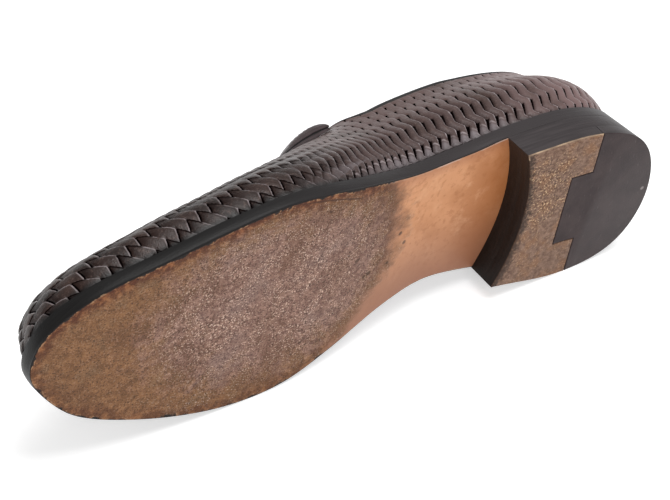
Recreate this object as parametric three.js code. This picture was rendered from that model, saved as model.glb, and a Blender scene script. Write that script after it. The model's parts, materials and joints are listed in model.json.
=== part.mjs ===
import * as THREE from "three";

// Left woven-leather loafer, in millimetres.
// Every piece is worked out with the shoe standing on its tread:
// x runs from the back of the heel to the toe, y to the outer side of the foot, z up.
// The whole group is then laid on its inner side, as it rests.

// Main sizes
const SOLE_LENGTH = 298;
const SOLE_EDGE = 6.5;
const SOLE_BEVEL = 1;
const HEEL_BREAST_X = 70;
const HEEL_BREAST_HOLLOW = 7;
const HEEL_SEAT_Z = 14;
const HEEL_FLARE_BACK = 3.5;
const HEEL_FLARE_LATERAL = 2;
const HEEL_TUCK_MEDIAL = 0.5;
const HEEL_FLARE_FULL = 30;
const LIFT_THICK = 6;
const LIFT_SPLIT_X = 30.5;
const LIFT_TAB_REACH = 11;
const LIFT_TAB_LATERAL = 18.5;
const LIFT_TAB_MEDIAL = -16.5;
const SEAM_GAP = 0.3;

// Upper and what goes inside it
const FEATHER_INSET = 1.2;
const WALL = 1.7;
const STRIP_RISE = 0.9;
const STRIP_PITCH = 6;
const WEAVE_ROWS = 7;
const SLIT_SHARE = 0.62;
const INSOLE_THICK = 3;
const INSOLE_INSET = 3.6;
const INSOLE_TOE_INSET = 3.5;
const INSOLE_TOE_X = 225;
const INSOLE_TOE_SPAN = 48;
const THROAT_X = 115;
const THROAT_ROUND = 22;
const BINDING_WIDE = 1.5;
const BINDING_HIGH = 1.7;
const BINDING_LIFT = 2.3;
const BINDING_SIDES = 6;
const BINDING_LEVELS = [0.5, 0.75, 1];
const BINDING_INWARD = WALL / 3;
const STRAP_FRONT_X = 141;
const STRAP_BACK_X = 117;
const STRAP_THICK = 1.8;
const STRAP_LIFT = 1.4;
const STRAP_LATERAL = 17;
const STRAP_MEDIAL = 30;

// How it lies, from the three points of the inner side that touch the floor
const REST_ROLL = 87.93;
const REST_PITCH = -6.33;

// Sole sections: share of the length, half widths each side of the axis, height of the underside
const SOLE_SECTIONS = [
  { at: 0, lateral: -1, medial: 1, bottom: 14 },
  { at: 0.02, lateral: 20.5, medial: 22, bottom: 14 },
  { at: 0.06, lateral: 31.5, medial: 31.5, bottom: 14 },
  { at: 0.13, lateral: 37.5, medial: 35, bottom: 14 },
  { at: 0.22, lateral: 37, medial: 32, bottom: 14 },
  { at: 0.32, lateral: 34.5, medial: 28.5, bottom: 13.3 },
  { at: 0.4, lateral: 36.8, medial: 31.5, bottom: 9.1 },
  { at: 0.5, lateral: 44.5, medial: 41.6, bottom: 3 },
  { at: 0.57, lateral: 49.1, medial: 48.5, bottom: 0.3 },
  { at: 0.64, lateral: 49.7, medial: 51.8, bottom: 0 },
  { at: 0.72, lateral: 45.4, medial: 50.6, bottom: 0.3 },
  { at: 0.82, lateral: 36.7, medial: 44.8, bottom: 1.8 },
  { at: 0.91, lateral: 26.8, medial: 35.6, bottom: 4.4 },
  { at: 0.97, lateral: 13.5, medial: 20.5, bottom: 6.8 },
  { at: 1, lateral: -5, medial: 5, bottom: 8 },
];

// Last sections along the ridge: height over the sole, side position of the ridge, how the wall
// leans in, how far each side swells and up to what height, collar height each side
const LAST_SECTIONS = [
  { x: 28, ridge: 92, mid: -1, lean: 3.4, swell: 3, swellIn: 3, swellTop: 38, outer: 45, inner: 46 },
  { x: 45, ridge: 90, mid: -1, lean: 3, swell: 2.2, swellIn: 2.2, swellTop: 38, outer: 40.5, inner: 41 },
  { x: 65, ridge: 84, mid: 0, lean: 2.3, swell: 2, swellIn: 2, swellTop: 38, outer: 42, inner: 42 },
  { x: 90, ridge: 73, mid: 0, lean: 1.6, swell: 2, swellIn: 2, swellTop: 36, outer: 41.5, inner: 42 },
  { x: 115, ridge: 58.5, mid: 1, lean: 1.15, swell: 2, swellIn: 2, swellTop: 33, outer: 42, inner: 43 },
  { x: 140, ridge: 53.5, mid: 1, lean: 1.05, swell: 2.2, swellIn: 2, swellTop: 31, outer: 53.5, inner: 53.5 },
  { x: 165, ridge: 48, mid: 0, lean: 1, swell: 2, swellIn: 2, swellTop: 28, outer: 48, inner: 48 },
  { x: 200, ridge: 39.5, mid: -2, lean: 1, swell: 2, swellIn: 2, swellTop: 25, outer: 39.5, inner: 39.5 },
  { x: 235, ridge: 32.5, mid: -4, lean: 0.9, swell: 3.2, swellIn: 1, swellTop: 22, outer: 32.5, inner: 32.5 },
  { x: 262, ridge: 26.5, mid: -5, lean: 0.9, swell: 1.6, swellIn: -2.4, swellTop: 20, outer: 26.5, inner: 26.5 },
  { x: 278, ridge: 20.5, mid: -5, lean: 1, swell: -2.6, swellIn: -4, swellTop: 20, outer: 20.5, inner: 20.5 },
];

// How the wall lines fan round the heel and the toe
const HEEL_FAN = 28;
const HEEL_FAN_SPAN = 70;
const TOE_FAN = 20;
const TOE_FAN_SPAN = 80;

// How finely each piece is cut into faces
const FINE_STEPS = 600;
const WALL_STEPS = 60;
const WALL_SAMPLES = 48;
const SOLE_STATIONS = 44;
const INSOLE_STATIONS = 28;
const HEEL_SIDE_STEPS = 12;
const RUBBER_SIDE_STEPS = 9;
const LEATHER_SIDE_STEPS = 5;
const BREAST_STEPS = 8;
const SIDE_LINE = 330;
const OUTER_STATIONS = 4 * Math.round(SIDE_LINE / (2 * STRIP_PITCH));
const INNER_STATIONS = OUTER_STATIONS / 2;
const INNER_LEVELS = [0, 0.12, 0.3, 0.5, 0.75, 1];
const STRAP_ALONG = 6;
const STRAP_ACROSS = 14;
const EDGE_RISE = 0.4 * STRIP_RISE;

// Table reading: a smooth curve through the rows of one column
function slopeAt(points, i) {
  const before = points[Math.max(i - 1, 0)];
  const after = points[Math.min(i + 1, points.length - 1)];
  return (after[1] - before[1]) / (after[0] - before[0]);
}

function smoothThrough(points, t) {
  const last = points.length - 1;
  const clamped = Math.min(Math.max(t, points[0][0]), points[last][0]);
  let i = 0;
  while (i < last - 1 && clamped > points[i + 1][0]) i += 1;
  const [t0, v0] = points[i];
  const [t1, v1] = points[i + 1];
  const span = t1 - t0;
  const s = (clamped - t0) / span;
  const m0 = slopeAt(points, i) * span;
  const m1 = slopeAt(points, i + 1) * span;
  const s2 = s * s;
  const s3 = s2 * s;
  return (2 * s3 - 3 * s2 + 1) * v0 + (s3 - 2 * s2 + s) * m0 + (3 * s2 - 2 * s3) * v1 + (s3 - s2) * m1;
}

const roundAngle = (at) => Math.acos(1 - 2 * at);
const lateralRows = SOLE_SECTIONS.map((row) => [roundAngle(row.at), row.lateral]);
const medialRows = SOLE_SECTIONS.map((row) => [roundAngle(row.at), -row.medial]);
const bottomRows = SOLE_SECTIONS.map((row) => [row.at * SOLE_LENGTH, row.bottom]);
const lastColumn = (name) => LAST_SECTIONS.map((row) => [row.x, row[name]]);
const LAST = {
  ridge: lastColumn("ridge"),
  mid: lastColumn("mid"),
  lean: lastColumn("lean"),
  swell: lastColumn("swell"),
  swellIn: lastColumn("swellIn"),
  swellTop: lastColumn("swellTop"),
  outer: lastColumn("outer"),
  inner: lastColumn("inner"),
};

const soleBottom = (x) => smoothThrough(bottomRows, x);
const soleTop = (x) => soleBottom(x) + SOLE_EDGE;

// Plan of the sole: one side as evenly spaced points from heel to toe
function sidePoints(rows, count) {
  const fine = [];
  for (let i = 0; i <= FINE_STEPS; i += 1) {
    const angle = (Math.PI * i) / FINE_STEPS;
    fine.push(new THREE.Vector2((SOLE_LENGTH * (1 - Math.cos(angle))) / 2, smoothThrough(rows, angle)));
  }
  return evenly(fine, count);
}

// A polyline resampled into equal lengths, in two or three dimensions
function evenly(line, count) {
  const run = [0];
  for (let i = 1; i < line.length; i += 1) run.push(run[i - 1] + line[i].distanceTo(line[i - 1]));
  const total = run[run.length - 1];
  const out = [];
  let k = 0;
  for (let i = 0; i <= count; i += 1) {
    const want = (total * i) / count;
    while (k < line.length - 2 && run[k + 1] < want) k += 1;
    const share = (want - run[k]) / Math.max(run[k + 1] - run[k], 1e-9);
    out.push(line[k].clone().lerp(line[k + 1], share));
  }
  return out;
}

// Closed plan loop: heel point, outer side, toe point, inner side back to the heel
function planLoop(count) {
  const outer = sidePoints(lateralRows, count);
  const inner = sidePoints(medialRows, count);
  return [...outer, ...inner.slice(1, count).reverse()];
}

function insetLoop(loop, inset) {
  const n = loop.length;
  return loop.map((point, i) => {
    const along = loop[(i + 1) % n].clone().sub(loop[(i + n - 1) % n]).normalize();
    return new THREE.Vector2(point.x + along.y * inset, point.y - along.x * inset);
  });
}

// Mesh building from rings of points
class Shell {
  constructor() {
    this.points = [];
    this.faces = [];
  }

  add(point) {
    this.points.push(point.x, point.y, point.z);
    return this.points.length / 3 - 1;
  }

  addAll(points) {
    return points.map((point) => this.add(point));
  }

  tri(a, b, c) {
    if (a !== b && b !== c && a !== c) this.faces.push(a, b, c);
  }

  quad(a, b, c, d) {
    this.tri(a, b, c);
    this.tri(a, c, d);
  }

  band(lower, upper) {
    const n = lower.length;
    for (let i = 0; i < n; i += 1) {
      const j = (i + 1) % n;
      this.quad(lower[i], lower[j], upper[j], upper[i]);
    }
  }

  // A loop of heel, outer side, toe and inner side closed by strips across the foot
  acrossCap(ring, up) {
    const half = ring.length / 2;
    for (let i = 0; i < half; i += 1) {
      const a = ring[i];
      const b = ring[i + 1];
      const c = ring[(ring.length - i - 1) % ring.length];
      const d = ring[(ring.length - i) % ring.length];
      if (up) this.quad(d, c, b, a);
      else this.quad(a, b, c, d);
    }
  }

  // Joins two closed rings of different counts that start at the same place
  zip(first, second) {
    const n = first.length;
    const m = second.length;
    let i = 0;
    let j = 0;
    while (i < n || j < m) {
      const stepFirst = j >= m || (i < n && (i + 1) * m <= (j + 1) * n);
      if (stepFirst) {
        this.tri(first[i % n], first[(i + 1) % n], second[j % m]);
        i += 1;
      } else {
        this.tri(first[i % n], second[(j + 1) % m], second[j % m]);
        j += 1;
      }
    }
  }

  geometry() {
    const made = new THREE.BufferGeometry();
    made.setAttribute("position", new THREE.Float32BufferAttribute(this.points, 3));
    made.setIndex(this.faces);
    made.computeVertexNormals();
    return made;
  }
}

const group = new THREE.Group();

function addMesh(name, geometry, color, roughness) {
  const mesh = new THREE.Mesh(geometry, new THREE.MeshStandardMaterial({ color, roughness }));
  mesh.name = name;
  group.add(mesh);
}

// Outsole: leather plate with its arch, toe spring and a small bevel under the edge
function outsole() {
  const loop = planLoop(SOLE_STATIONS);
  const shell = new Shell();
  const raise = (plan, height) => plan.map((p) => new THREE.Vector3(p.x, p.y, height(p.x)));
  const under = shell.addAll(raise(insetLoop(loop, SOLE_BEVEL), soleBottom));
  const low = shell.addAll(raise(loop, (x) => soleBottom(x) + SOLE_BEVEL));
  const high = shell.addAll(raise(loop, soleTop));
  shell.acrossCap(under, false);
  shell.band(high, low);
  shell.band(low, under);
  shell.acrossCap(high, true);
  return shell.geometry();
}

// Heel plan: the outline behind the breast, flared towards the tread
function heelSide(rows, drop) {
  const side = rows === lateralRows ? 1 : -1;
  const wide = side > 0 ? HEEL_FLARE_LATERAL : -HEEL_TUCK_MEDIAL;
  return sidePoints(rows, FINE_STEPS)
    .filter((p) => p.x <= HEEL_BREAST_X)
    .map((p) => {
      const share = 1 - p.x / HEEL_BREAST_X;
      const grow = Math.min(1, Math.abs(p.y) / HEEL_FLARE_FULL);
      return new THREE.Vector2(p.x - HEEL_FLARE_BACK * share * drop, p.y + side * wide * grow * drop);
    });
}

// Part of a heel side between two places along the foot, in equal steps
function stretch(line, fromX, toX, count) {
  const inside = line.filter((p) => p.x > fromX && p.x < toX);
  const at = (x) => {
    const k = line.findIndex((p) => p.x >= x);
    if (k <= 0) return line[k === 0 ? 0 : line.length - 1].clone();
    return line[k - 1].clone().lerp(line[k], (x - line[k - 1].x) / (line[k].x - line[k - 1].x));
  };
  return evenly([at(fromX), ...inside, at(toX)], count);
}

function breastCurve(outerCorner, innerCorner) {
  const curve = [];
  for (let i = 1; i < BREAST_STEPS; i += 1) {
    const share = i / BREAST_STEPS;
    const point = outerCorner.clone().lerp(innerCorner, share);
    point.x -= HEEL_BREAST_HOLLOW * 4 * share * (1 - share);
    curve.push(point);
  }
  return curve;
}

function heelLoop(drop) {
  const outer = stretch(heelSide(lateralRows, drop), -HEEL_FLARE_BACK, HEEL_BREAST_X, HEEL_SIDE_STEPS);
  const inner = stretch(heelSide(medialRows, drop), -HEEL_FLARE_BACK, HEEL_BREAST_X, HEEL_SIDE_STEPS);
  const breast = breastCurve(outer[HEEL_SIDE_STEPS], inner[HEEL_SIDE_STEPS]);
  return [...outer, ...breast, ...inner.slice(1).reverse()];
}

function prism(lowPlan, lowZ, highPlan, highZ) {
  const shell = new Shell();
  const low = shell.addAll(lowPlan.map((p) => new THREE.Vector3(p.x, p.y, lowZ)));
  const high = shell.addAll(highPlan.map((p) => new THREE.Vector3(p.x, p.y, highZ)));
  shell.band(high, low);
  for (const [a, b, c] of THREE.ShapeUtils.triangulateShape(lowPlan, [])) {
    const turn = (lowPlan[b].x - lowPlan[a].x) * (lowPlan[c].y - lowPlan[a].y);
    const back = (lowPlan[b].y - lowPlan[a].y) * (lowPlan[c].x - lowPlan[a].x);
    if (turn - back < 0) {
      shell.tri(low[a], low[b], low[c]);
      shell.tri(high[a], high[c], high[b]);
    } else {
      shell.tri(low[a], low[c], low[b]);
      shell.tri(high[a], high[b], high[c]);
    }
  }
  return shell.geometry();
}

function heelStack() {
  const low = LIFT_THICK + SEAM_GAP;
  const high = HEEL_SEAT_Z - SEAM_GAP;
  const share = (z) => 1 - z / HEEL_SEAT_Z;
  return prism(heelLoop(share(low)), low, heelLoop(share(high)), high);
}

// Top piece on the tread: rubber behind, leather in front, with a square tab between them
function splitTab(gap) {
  const x = LIFT_SPLIT_X + gap;
  const reach = x + LIFT_TAB_REACH;
  return [
    new THREE.Vector2(x, LIFT_TAB_LATERAL + gap),
    new THREE.Vector2(reach, LIFT_TAB_LATERAL + gap),
    new THREE.Vector2(reach, LIFT_TAB_MEDIAL - gap),
    new THREE.Vector2(x, LIFT_TAB_MEDIAL - gap),
  ];
}

function rubberPlan(drop) {
  const outer = stretch(heelSide(lateralRows, drop), -HEEL_FLARE_BACK, LIFT_SPLIT_X, RUBBER_SIDE_STEPS);
  const inner = stretch(heelSide(medialRows, drop), -HEEL_FLARE_BACK, LIFT_SPLIT_X, RUBBER_SIDE_STEPS);
  return [...outer, ...splitTab(0), ...inner.slice(1).reverse()];
}

function leatherPlan(drop) {
  const start = LIFT_SPLIT_X + SEAM_GAP;
  const outer = stretch(heelSide(lateralRows, drop), start, HEEL_BREAST_X, LEATHER_SIDE_STEPS);
  const inner = stretch(heelSide(medialRows, drop), start, HEEL_BREAST_X, LEATHER_SIDE_STEPS);
  const breast = breastCurve(outer[LEATHER_SIDE_STEPS], inner[LEATHER_SIDE_STEPS]);
  return [...outer, ...breast, ...inner.reverse(), ...splitTab(SEAM_GAP).reverse()];
}

function lift(plan) {
  const topDrop = 1 - LIFT_THICK / HEEL_SEAT_Z;
  return prism(plan(1), 0, plan(topDrop), LIFT_THICK);
}

// Insole board inside the upper, drawn in at the toe where the wall slopes
function insole() {
  const plan = planLoop(INSOLE_STATIONS);
  const plain = insetLoop(plan, INSOLE_INSET);
  const tucked = insetLoop(plan, INSOLE_INSET + INSOLE_TOE_INSET);
  const toeShare = (x) => Math.min(1, Math.max(0, (x - INSOLE_TOE_X) / INSOLE_TOE_SPAN));
  const loop = plain.map((p, i) => p.clone().lerp(tucked[i], toeShare(p.x)));
  const shell = new Shell();
  const raise = (height) => loop.map((p) => new THREE.Vector3(p.x, p.y, soleTop(p.x) + height));
  const low = shell.addAll(raise(SEAM_GAP));
  const high = shell.addAll(raise(SEAM_GAP + INSOLE_THICK));
  shell.acrossCap(low, false);
  shell.band(high, low);
  shell.acrossCap(high, true);
  return shell.geometry();
}

// Last surface: the point of the ridge that a wall line climbs towards
function ridgeX(x) {
  const heel = Math.max(0, 1 - x / HEEL_FAN_SPAN);
  const toe = Math.max(0, (x - SOLE_LENGTH + TOE_FAN_SPAN) / TOE_FAN_SPAN);
  return x + HEEL_FAN * heel * heel - TOE_FAN * toe * toe;
}

function collarHeight(x, outerSide) {
  const column = outerSide ? LAST.outer : LAST.inner;
  const ridge = smoothThrough(LAST.ridge, x);
  if (x >= THROAT_X) return ridge;
  const side = smoothThrough(column, x);
  const share = Math.min(1, (THROAT_X - x) / THROAT_ROUND);
  const blend = (1 - share) * (1 - share);
  return side + (smoothThrough(LAST.ridge, THROAT_X) - side) * blend;
}

// One wall line from the feather edge up to the collar or over to the ridge
function wallLine(foot, x, outerSide) {
  const ridge = smoothThrough(LAST.ridge, x);
  const lean = smoothThrough(LAST.lean, x);
  const swell = smoothThrough(outerSide ? LAST.swell : LAST.swellIn, x);
  const swellTop = smoothThrough(LAST.swellTop, x);
  const top = new THREE.Vector2(x, smoothThrough(LAST.mid, x));
  const reach = foot.distanceTo(top);
  const inward = top.clone().sub(foot).normalize();
  const base = soleTop(foot.x) + SEAM_GAP;
  const rise = soleTop(x) + ridge - base;
  const cut = soleTop(x) + collarHeight(x, outerSide) - base;
  const line = [];
  for (let i = 0; i <= WALL_STEPS; i += 1) {
    const angle = (Math.PI / 2) * (i / WALL_STEPS);
    const up = rise * Math.sin(angle);
    const puff = up < swellTop ? swell * Math.sin((Math.PI * up) / swellTop) : 0;
    const leaned = reach * (1 - Math.pow(Math.max(0, Math.cos(angle)), lean)) - puff;
    const point = new THREE.Vector3(foot.x + inward.x * leaned, foot.y + inward.y * leaned, base + up);
    if (up > cut && line.length > 0) {
      const before = line[line.length - 1];
      const share = (base + cut - before.z) / Math.max(point.z - before.z, 1e-9);
      line.push(before.clone().lerp(point, share));
      return line;
    }
    line.push(point);
  }
  return line;
}

// Grid of the last surface: a closed run of wall lines, each cut into levels
function lastGrid(stations, levels) {
  const outer = sidePoints(lateralRows, stations);
  const inner = sidePoints(medialRows, stations);
  const loop = insetLoop([...outer, ...inner.slice(1, stations).reverse()], FEATHER_INSET);
  const count = loop.length;
  return loop.map((foot, i) => {
    const mate = loop[(count - i) % count];
    const x = ridgeX((foot.x + mate.x) / 2);
    const fine = evenly(wallLine(foot, x, i <= stations), WALL_SAMPLES);
    return { x, open: x < THROAT_X, points: levelPoints(fine, levels) };
  });
}

function levelPoints(fine, levels) {
  return levels.map((level) => {
    const t = level * (fine.length - 1);
    const k = Math.min(Math.floor(t), fine.length - 2);
    return fine[k].clone().lerp(fine[k + 1], t - k);
  });
}

function gridNormal(grid, i, j) {
  const n = grid.length;
  const next = grid[(i + 1) % n].points;
  const previous = grid[(i + n - 1) % n].points;
  const own = grid[i].points;
  const low = own[Math.max(j - 1, 0)];
  const high = own[Math.min(j + 1, own.length - 1)];
  const around = next[j].clone().sub(previous[j]);
  const up = high.clone().sub(low);
  return up.cross(around).normalize();
}

function offsetGrid(grid, distance) {
  return grid.map((line, i) => ({
    ...line,
    points: line.points.map((p, j) => {
      const moved = p.clone().addScaledVector(gridNormal(grid, i, j), distance(i, j));
      if (j === 0) moved.z = p.z;
      return moved;
    }),
  }));
}

// Level shares: each weave row has a tall slit part and a short crossing part
function weaveLevels() {
  const levels = [0];
  for (let row = 0; row < WEAVE_ROWS; row += 1) {
    levels.push((row + SLIT_SHARE) / WEAVE_ROWS);
    levels.push((row + 1) / WEAVE_ROWS);
  }
  return levels;
}

function stripHeight(i, j, last) {
  if (j === 0 || j === last) return EDGE_RISE;
  const row = Math.floor(j / 2);
  return (i + row) % 2 === 0 ? STRIP_RISE : 0;
}

// Both sides share the vertices of the ridge ahead of the throat
function gridVertices(shell, grid) {
  const n = grid.length;
  const rows = grid[0].points.length;
  const ids = grid.map(() => []);
  for (let i = 0; i < n; i += 1) {
    const mate = (n - i) % n;
    for (let j = 0; j < rows; j += 1) {
      const shared = j === rows - 1 && !grid[i].open && mate < i;
      ids[i].push(shared ? ids[mate][j] : shell.add(grid[i].points[j]));
    }
  }
  return ids;
}

function gridFaces(shell, ids, outward) {
  const n = ids.length;
  const rows = ids[0].length;
  for (let i = 0; i < n; i += 1) {
    const a = ids[i];
    const b = ids[(i + 1) % n];
    for (let j = 0; j < rows - 1; j += 1) {
      if (outward) shell.quad(a[j], a[j + 1], b[j + 1], b[j]);
      else shell.quad(a[j], b[j], b[j + 1], a[j + 1]);
    }
  }
}

// The open part of the top edge, from the throat round the heel and back
function collarRing(grid, ids) {
  return collarOrder(grid).map((i) => ids[i][ids[i].length - 1]);
}

function ridgeSmoothed(grid) {
  const n = grid.length;
  const top = grid[0].points.length - 1;
  grid.forEach((line, i) => {
    const mate = grid[(n - i) % n];
    if (line.open || i > n / 2) return;
    const middle = line.points[top].clone().add(mate.points[top]).multiplyScalar(0.5);
    line.points[top].copy(middle);
    mate.points[top].copy(middle);
  });
  return grid;
}

function upper() {
  const shell = new Shell();
  const levels = weaveLevels();
  const last = levels.length - 1;
  const base = lastGrid(OUTER_STATIONS, levels);
  const outside = ridgeSmoothed(offsetGrid(base, (i, j) => stripHeight(i, j, last)));
  const inside = ridgeSmoothed(offsetGrid(lastGrid(INNER_STATIONS, INNER_LEVELS), () => -WALL));
  const outerIds = gridVertices(shell, outside);
  const innerIds = gridVertices(shell, inside);
  gridFaces(shell, outerIds, true);
  gridFaces(shell, innerIds, false);
  shell.zip(outerIds.map((line) => line[0]), innerIds.map((line) => line[0]));
  shell.zip(collarRing(outside, outerIds), collarRing(inside, innerIds));
  return shell.geometry();
}

// Binding: a rolled edge that follows the collar, framed by the wall a little below it
function collarOrder(grid) {
  const n = grid.length;
  let front = 0;
  while (grid[front].open) front += 1;
  const order = [];
  for (let i = front; i > 0; i -= 1) order.push(i);
  for (let i = n; i > n - front; i -= 1) order.push(i % n);
  return order;
}

function binding() {
  const grid = lastGrid(OUTER_STATIONS, BINDING_LEVELS);
  const order = collarOrder(grid);
  const n = order.length;
  const top = (k) => grid[order[(k + n) % n]].points[2];
  const rings = order.map((i, k) => {
    const along = top(k + 1).clone().sub(top(k - 1)).normalize();
    const out = k === 0 ? new THREE.Vector3(0, 0, 1) : gridNormal(grid, i, 1);
    const lifted = out.clone().cross(along).normalize();
    const facing = along.clone().cross(lifted).normalize();
    const middle = top(k).clone().addScaledVector(lifted, BINDING_LIFT).addScaledVector(facing, -BINDING_INWARD);
    const ring = [];
    for (let s = 0; s < BINDING_SIDES; s += 1) {
      const angle = (2 * Math.PI * (s + 0.5)) / BINDING_SIDES;
      const point = middle.clone().addScaledVector(facing, BINDING_WIDE * Math.cos(angle));
      ring.push(point.addScaledVector(lifted, BINDING_HIGH * Math.sin(angle)));
    }
    return ring;
  });
  const shell = new Shell();
  const ids = rings.map((ring) => shell.addAll(ring));
  ids.forEach((ring, k) => shell.band(ids[(k + 1) % n], ring));
  return shell.geometry();
}

// Strap over the instep: a smooth band laid on the upper, just ahead of the throat
function footAt(rows, x) {
  const y = smoothThrough(rows, roundAngle(x / SOLE_LENGTH));
  return new THREE.Vector2(x, y - Math.sign(y) * FEATHER_INSET);
}

function fromRidge(line, distance) {
  const top = line.length - 1;
  let left = distance;
  for (let k = top; k > 0; k -= 1) {
    const step = line[k].distanceTo(line[k - 1]);
    if (step >= left) return line[k].clone().lerp(line[k - 1], left / step);
    left -= step;
  }
  return line[0].clone();
}

function strapLine(x, across) {
  const outer = wallLine(footAt(lateralRows, x), x, true);
  const inner = wallLine(footAt(medialRows, x), x, false);
  const line = [];
  for (let k = 0; k <= across; k += 1) {
    const place = STRAP_LATERAL - ((STRAP_LATERAL + STRAP_MEDIAL) * k) / across;
    line.push(place >= 0 ? fromRidge(outer, place) : fromRidge(inner, -place));
  }
  return line;
}

function strap() {
  const along = STRAP_ALONG;
  const across = STRAP_ACROSS;
  const bare = [];
  for (let i = 0; i <= along; i += 1) {
    bare.push(strapLine(STRAP_BACK_X + ((STRAP_FRONT_X - STRAP_BACK_X) * i) / along, across));
  }
  const normal = (i, k) => {
    const ahead = bare[Math.min(i + 1, along)][k].clone().sub(bare[Math.max(i - 1, 0)][k]);
    const over = bare[i][Math.min(k + 1, across)].clone().sub(bare[i][Math.max(k - 1, 0)]);
    return over.cross(ahead).normalize();
  };
  const raised = (lift) => bare.map((line, i) => line.map((p, k) => p.clone().addScaledVector(normal(i, k), lift)));
  const shell = new Shell();
  const low = raised(STRAP_LIFT).map((line) => shell.addAll(line));
  const high = raised(STRAP_LIFT + STRAP_THICK).map((line) => shell.addAll(line));
  for (let i = 0; i < along; i += 1) {
    for (let k = 0; k < across; k += 1) {
      shell.quad(high[i][k], high[i][k + 1], high[i + 1][k + 1], high[i + 1][k]);
      shell.quad(low[i][k], low[i + 1][k], low[i + 1][k + 1], low[i][k + 1]);
    }
    shell.quad(low[i][0], high[i][0], high[i + 1][0], low[i + 1][0]);
    shell.quad(low[i][across], low[i + 1][across], high[i + 1][across], high[i][across]);
  }
  for (let k = 0; k < across; k += 1) {
    shell.quad(low[0][k], low[0][k + 1], high[0][k + 1], high[0][k]);
    shell.quad(low[along][k], high[along][k], high[along][k + 1], low[along][k + 1]);
  }
  return shell.geometry();
}

addMesh("outsole", outsole(), 0x8a5f3c, 0.7);
addMesh("heel_stack", heelStack(), 0x26231f, 0.5);
addMesh("heel_lift_leather", lift(leatherPlan), 0x6b4a36, 0.8);
addMesh("heel_lift_rubber", lift(rubberPlan), 0x3f3632, 0.7);
addMesh("insole", insole(), 0x7a5a40, 0.7);
addMesh("upper", upper(), 0x3e3234, 0.45);
addMesh("throat_strap", strap(), 0x352a2c, 0.4);
addMesh("collar_binding", binding(), 0x1f1b1c, 0.4);

// Laid on the floor: inner side down, middle of the length and depth over the origin
group.rotation.set(THREE.MathUtils.degToRad(REST_ROLL), THREE.MathUtils.degToRad(REST_PITCH), 0, "YXZ");
const part = new THREE.Group();
part.add(group);
part.updateMatrixWorld(true);
const box = new THREE.Box3().setFromObject(part, true);
group.position.set(-(box.min.x + box.max.x) / 2, -(box.min.y + box.max.y) / 2, -box.min.z);

export default part;
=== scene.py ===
import json
import math

import bpy
import numpy as np
from mathutils import Matrix, Vector


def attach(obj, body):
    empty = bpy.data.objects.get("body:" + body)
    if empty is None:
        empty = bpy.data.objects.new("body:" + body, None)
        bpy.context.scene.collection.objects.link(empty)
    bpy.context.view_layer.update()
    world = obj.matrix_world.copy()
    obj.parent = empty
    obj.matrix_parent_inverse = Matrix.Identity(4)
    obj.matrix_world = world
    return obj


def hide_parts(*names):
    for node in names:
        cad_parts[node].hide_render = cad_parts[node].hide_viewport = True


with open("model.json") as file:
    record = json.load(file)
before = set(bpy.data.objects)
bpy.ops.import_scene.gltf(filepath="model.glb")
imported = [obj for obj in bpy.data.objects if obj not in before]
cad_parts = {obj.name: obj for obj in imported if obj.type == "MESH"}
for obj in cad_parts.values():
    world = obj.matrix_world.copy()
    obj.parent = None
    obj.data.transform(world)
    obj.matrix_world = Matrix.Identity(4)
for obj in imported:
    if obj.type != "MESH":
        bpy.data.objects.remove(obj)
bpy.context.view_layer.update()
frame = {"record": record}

# Looks of a left woven-leather loafer lying on its inner side.
# Sizes are millimetres of the shoe standing on its tread: x from heel to toe, y to the outer side, z up.
# to_row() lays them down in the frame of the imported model, in metres.

# Sole
SOLE_LENGTH = 298.0
SOLE_EDGE = 6.5
SOLE_BEVEL = 0.4
SEAT_BEVEL_SHARE = 0.06
EDGE_ROUND = 0.3
TOE_BLUNT = 2.2
TOE_BLUNT_X = 284.0
SEAM_GAP = 0.3
FEATHER_INSET = 1.2

# Heel
HEEL_BREAST_X = 70.0
HEEL_BREAST_HOLLOW = 7.0
HEEL_BREAST_FADE = 4.0
BREAST_MARGIN = 2.0
HEEL_SEAT_Z = 14.0
HEEL_FLARE_BACK = 4.2
HEEL_FLARE_LATERAL = 2.0
HEEL_TUCK_MEDIAL = 0.5
HEEL_FLARE_FULL = 30.0
HEEL_BEVEL = 0.5
HEEL_JOINT = 0.03
FLARE_FADE = 16.0
FLARE_START = 0.3
LIFT_THICK = 6.0
LIFT_SPLIT_X = 30.5
LIFT_TAB_REACH = 11.0
LIFT_TAB_LATERAL = 18.5
LIFT_TAB_MEDIAL = -16.5

# Corner of the heel tread: height and inset of its rings, as shares of the bevel
HEEL_CORNER = ((0.0, 0.7), (0.3, 0.2), (1.0, 0.0))

# Upper, insole, binding and strap
WALL = 1.7
HEEL_FAN = 28.0
HEEL_FAN_SPAN = 70.0
TOE_FAN = 20.0
TOE_FAN_SPAN = 80.0
THROAT_X = 115.0
THROAT_ROUND = 14.5
INSOLE_THICK = 3.0
INSOLE_CHAMFER = 0.6
INSOLE_INSET = 3.6
INSOLE_TOE_INSET = 3.5
INSOLE_TOE_X = 225.0
INSOLE_TOE_SPAN = 48.0
BINDING_WIDE = 1.2
BINDING_HIGH = 1.3
BINDING_LIFT = 1.7
BINDING_INWARD = WALL / 3
STRAP_FRONT_X = 141.0
STRAP_BACK_X = 117.0
STRAP_THICK = 2.6
STRAP_LIFT = 0.28
STRAP_LATERAL = 17.0
STRAP_MEDIAL = 30.0
STRAP_ROUND = 2.2
STRAP_RIM = 0.75
STRAP_SWELL = 0.9
STRAP_SWELL_BACK = 0.7
STRAP_SEAM = 0.5
STRAP_PRESS = 0.9
STRAP_PRESS_FADE = 2.0
STITCH_INSET = 2.6
STITCH_LONG = 1.9
STITCH_STEP = 3.0
STITCH_THICK = 0.26
STITCH_TAPER = 0.12
STITCH_RISE = 0.5
CHANNEL_DEEP = 0.4
CHANNEL_WIDE = 0.5

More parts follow.
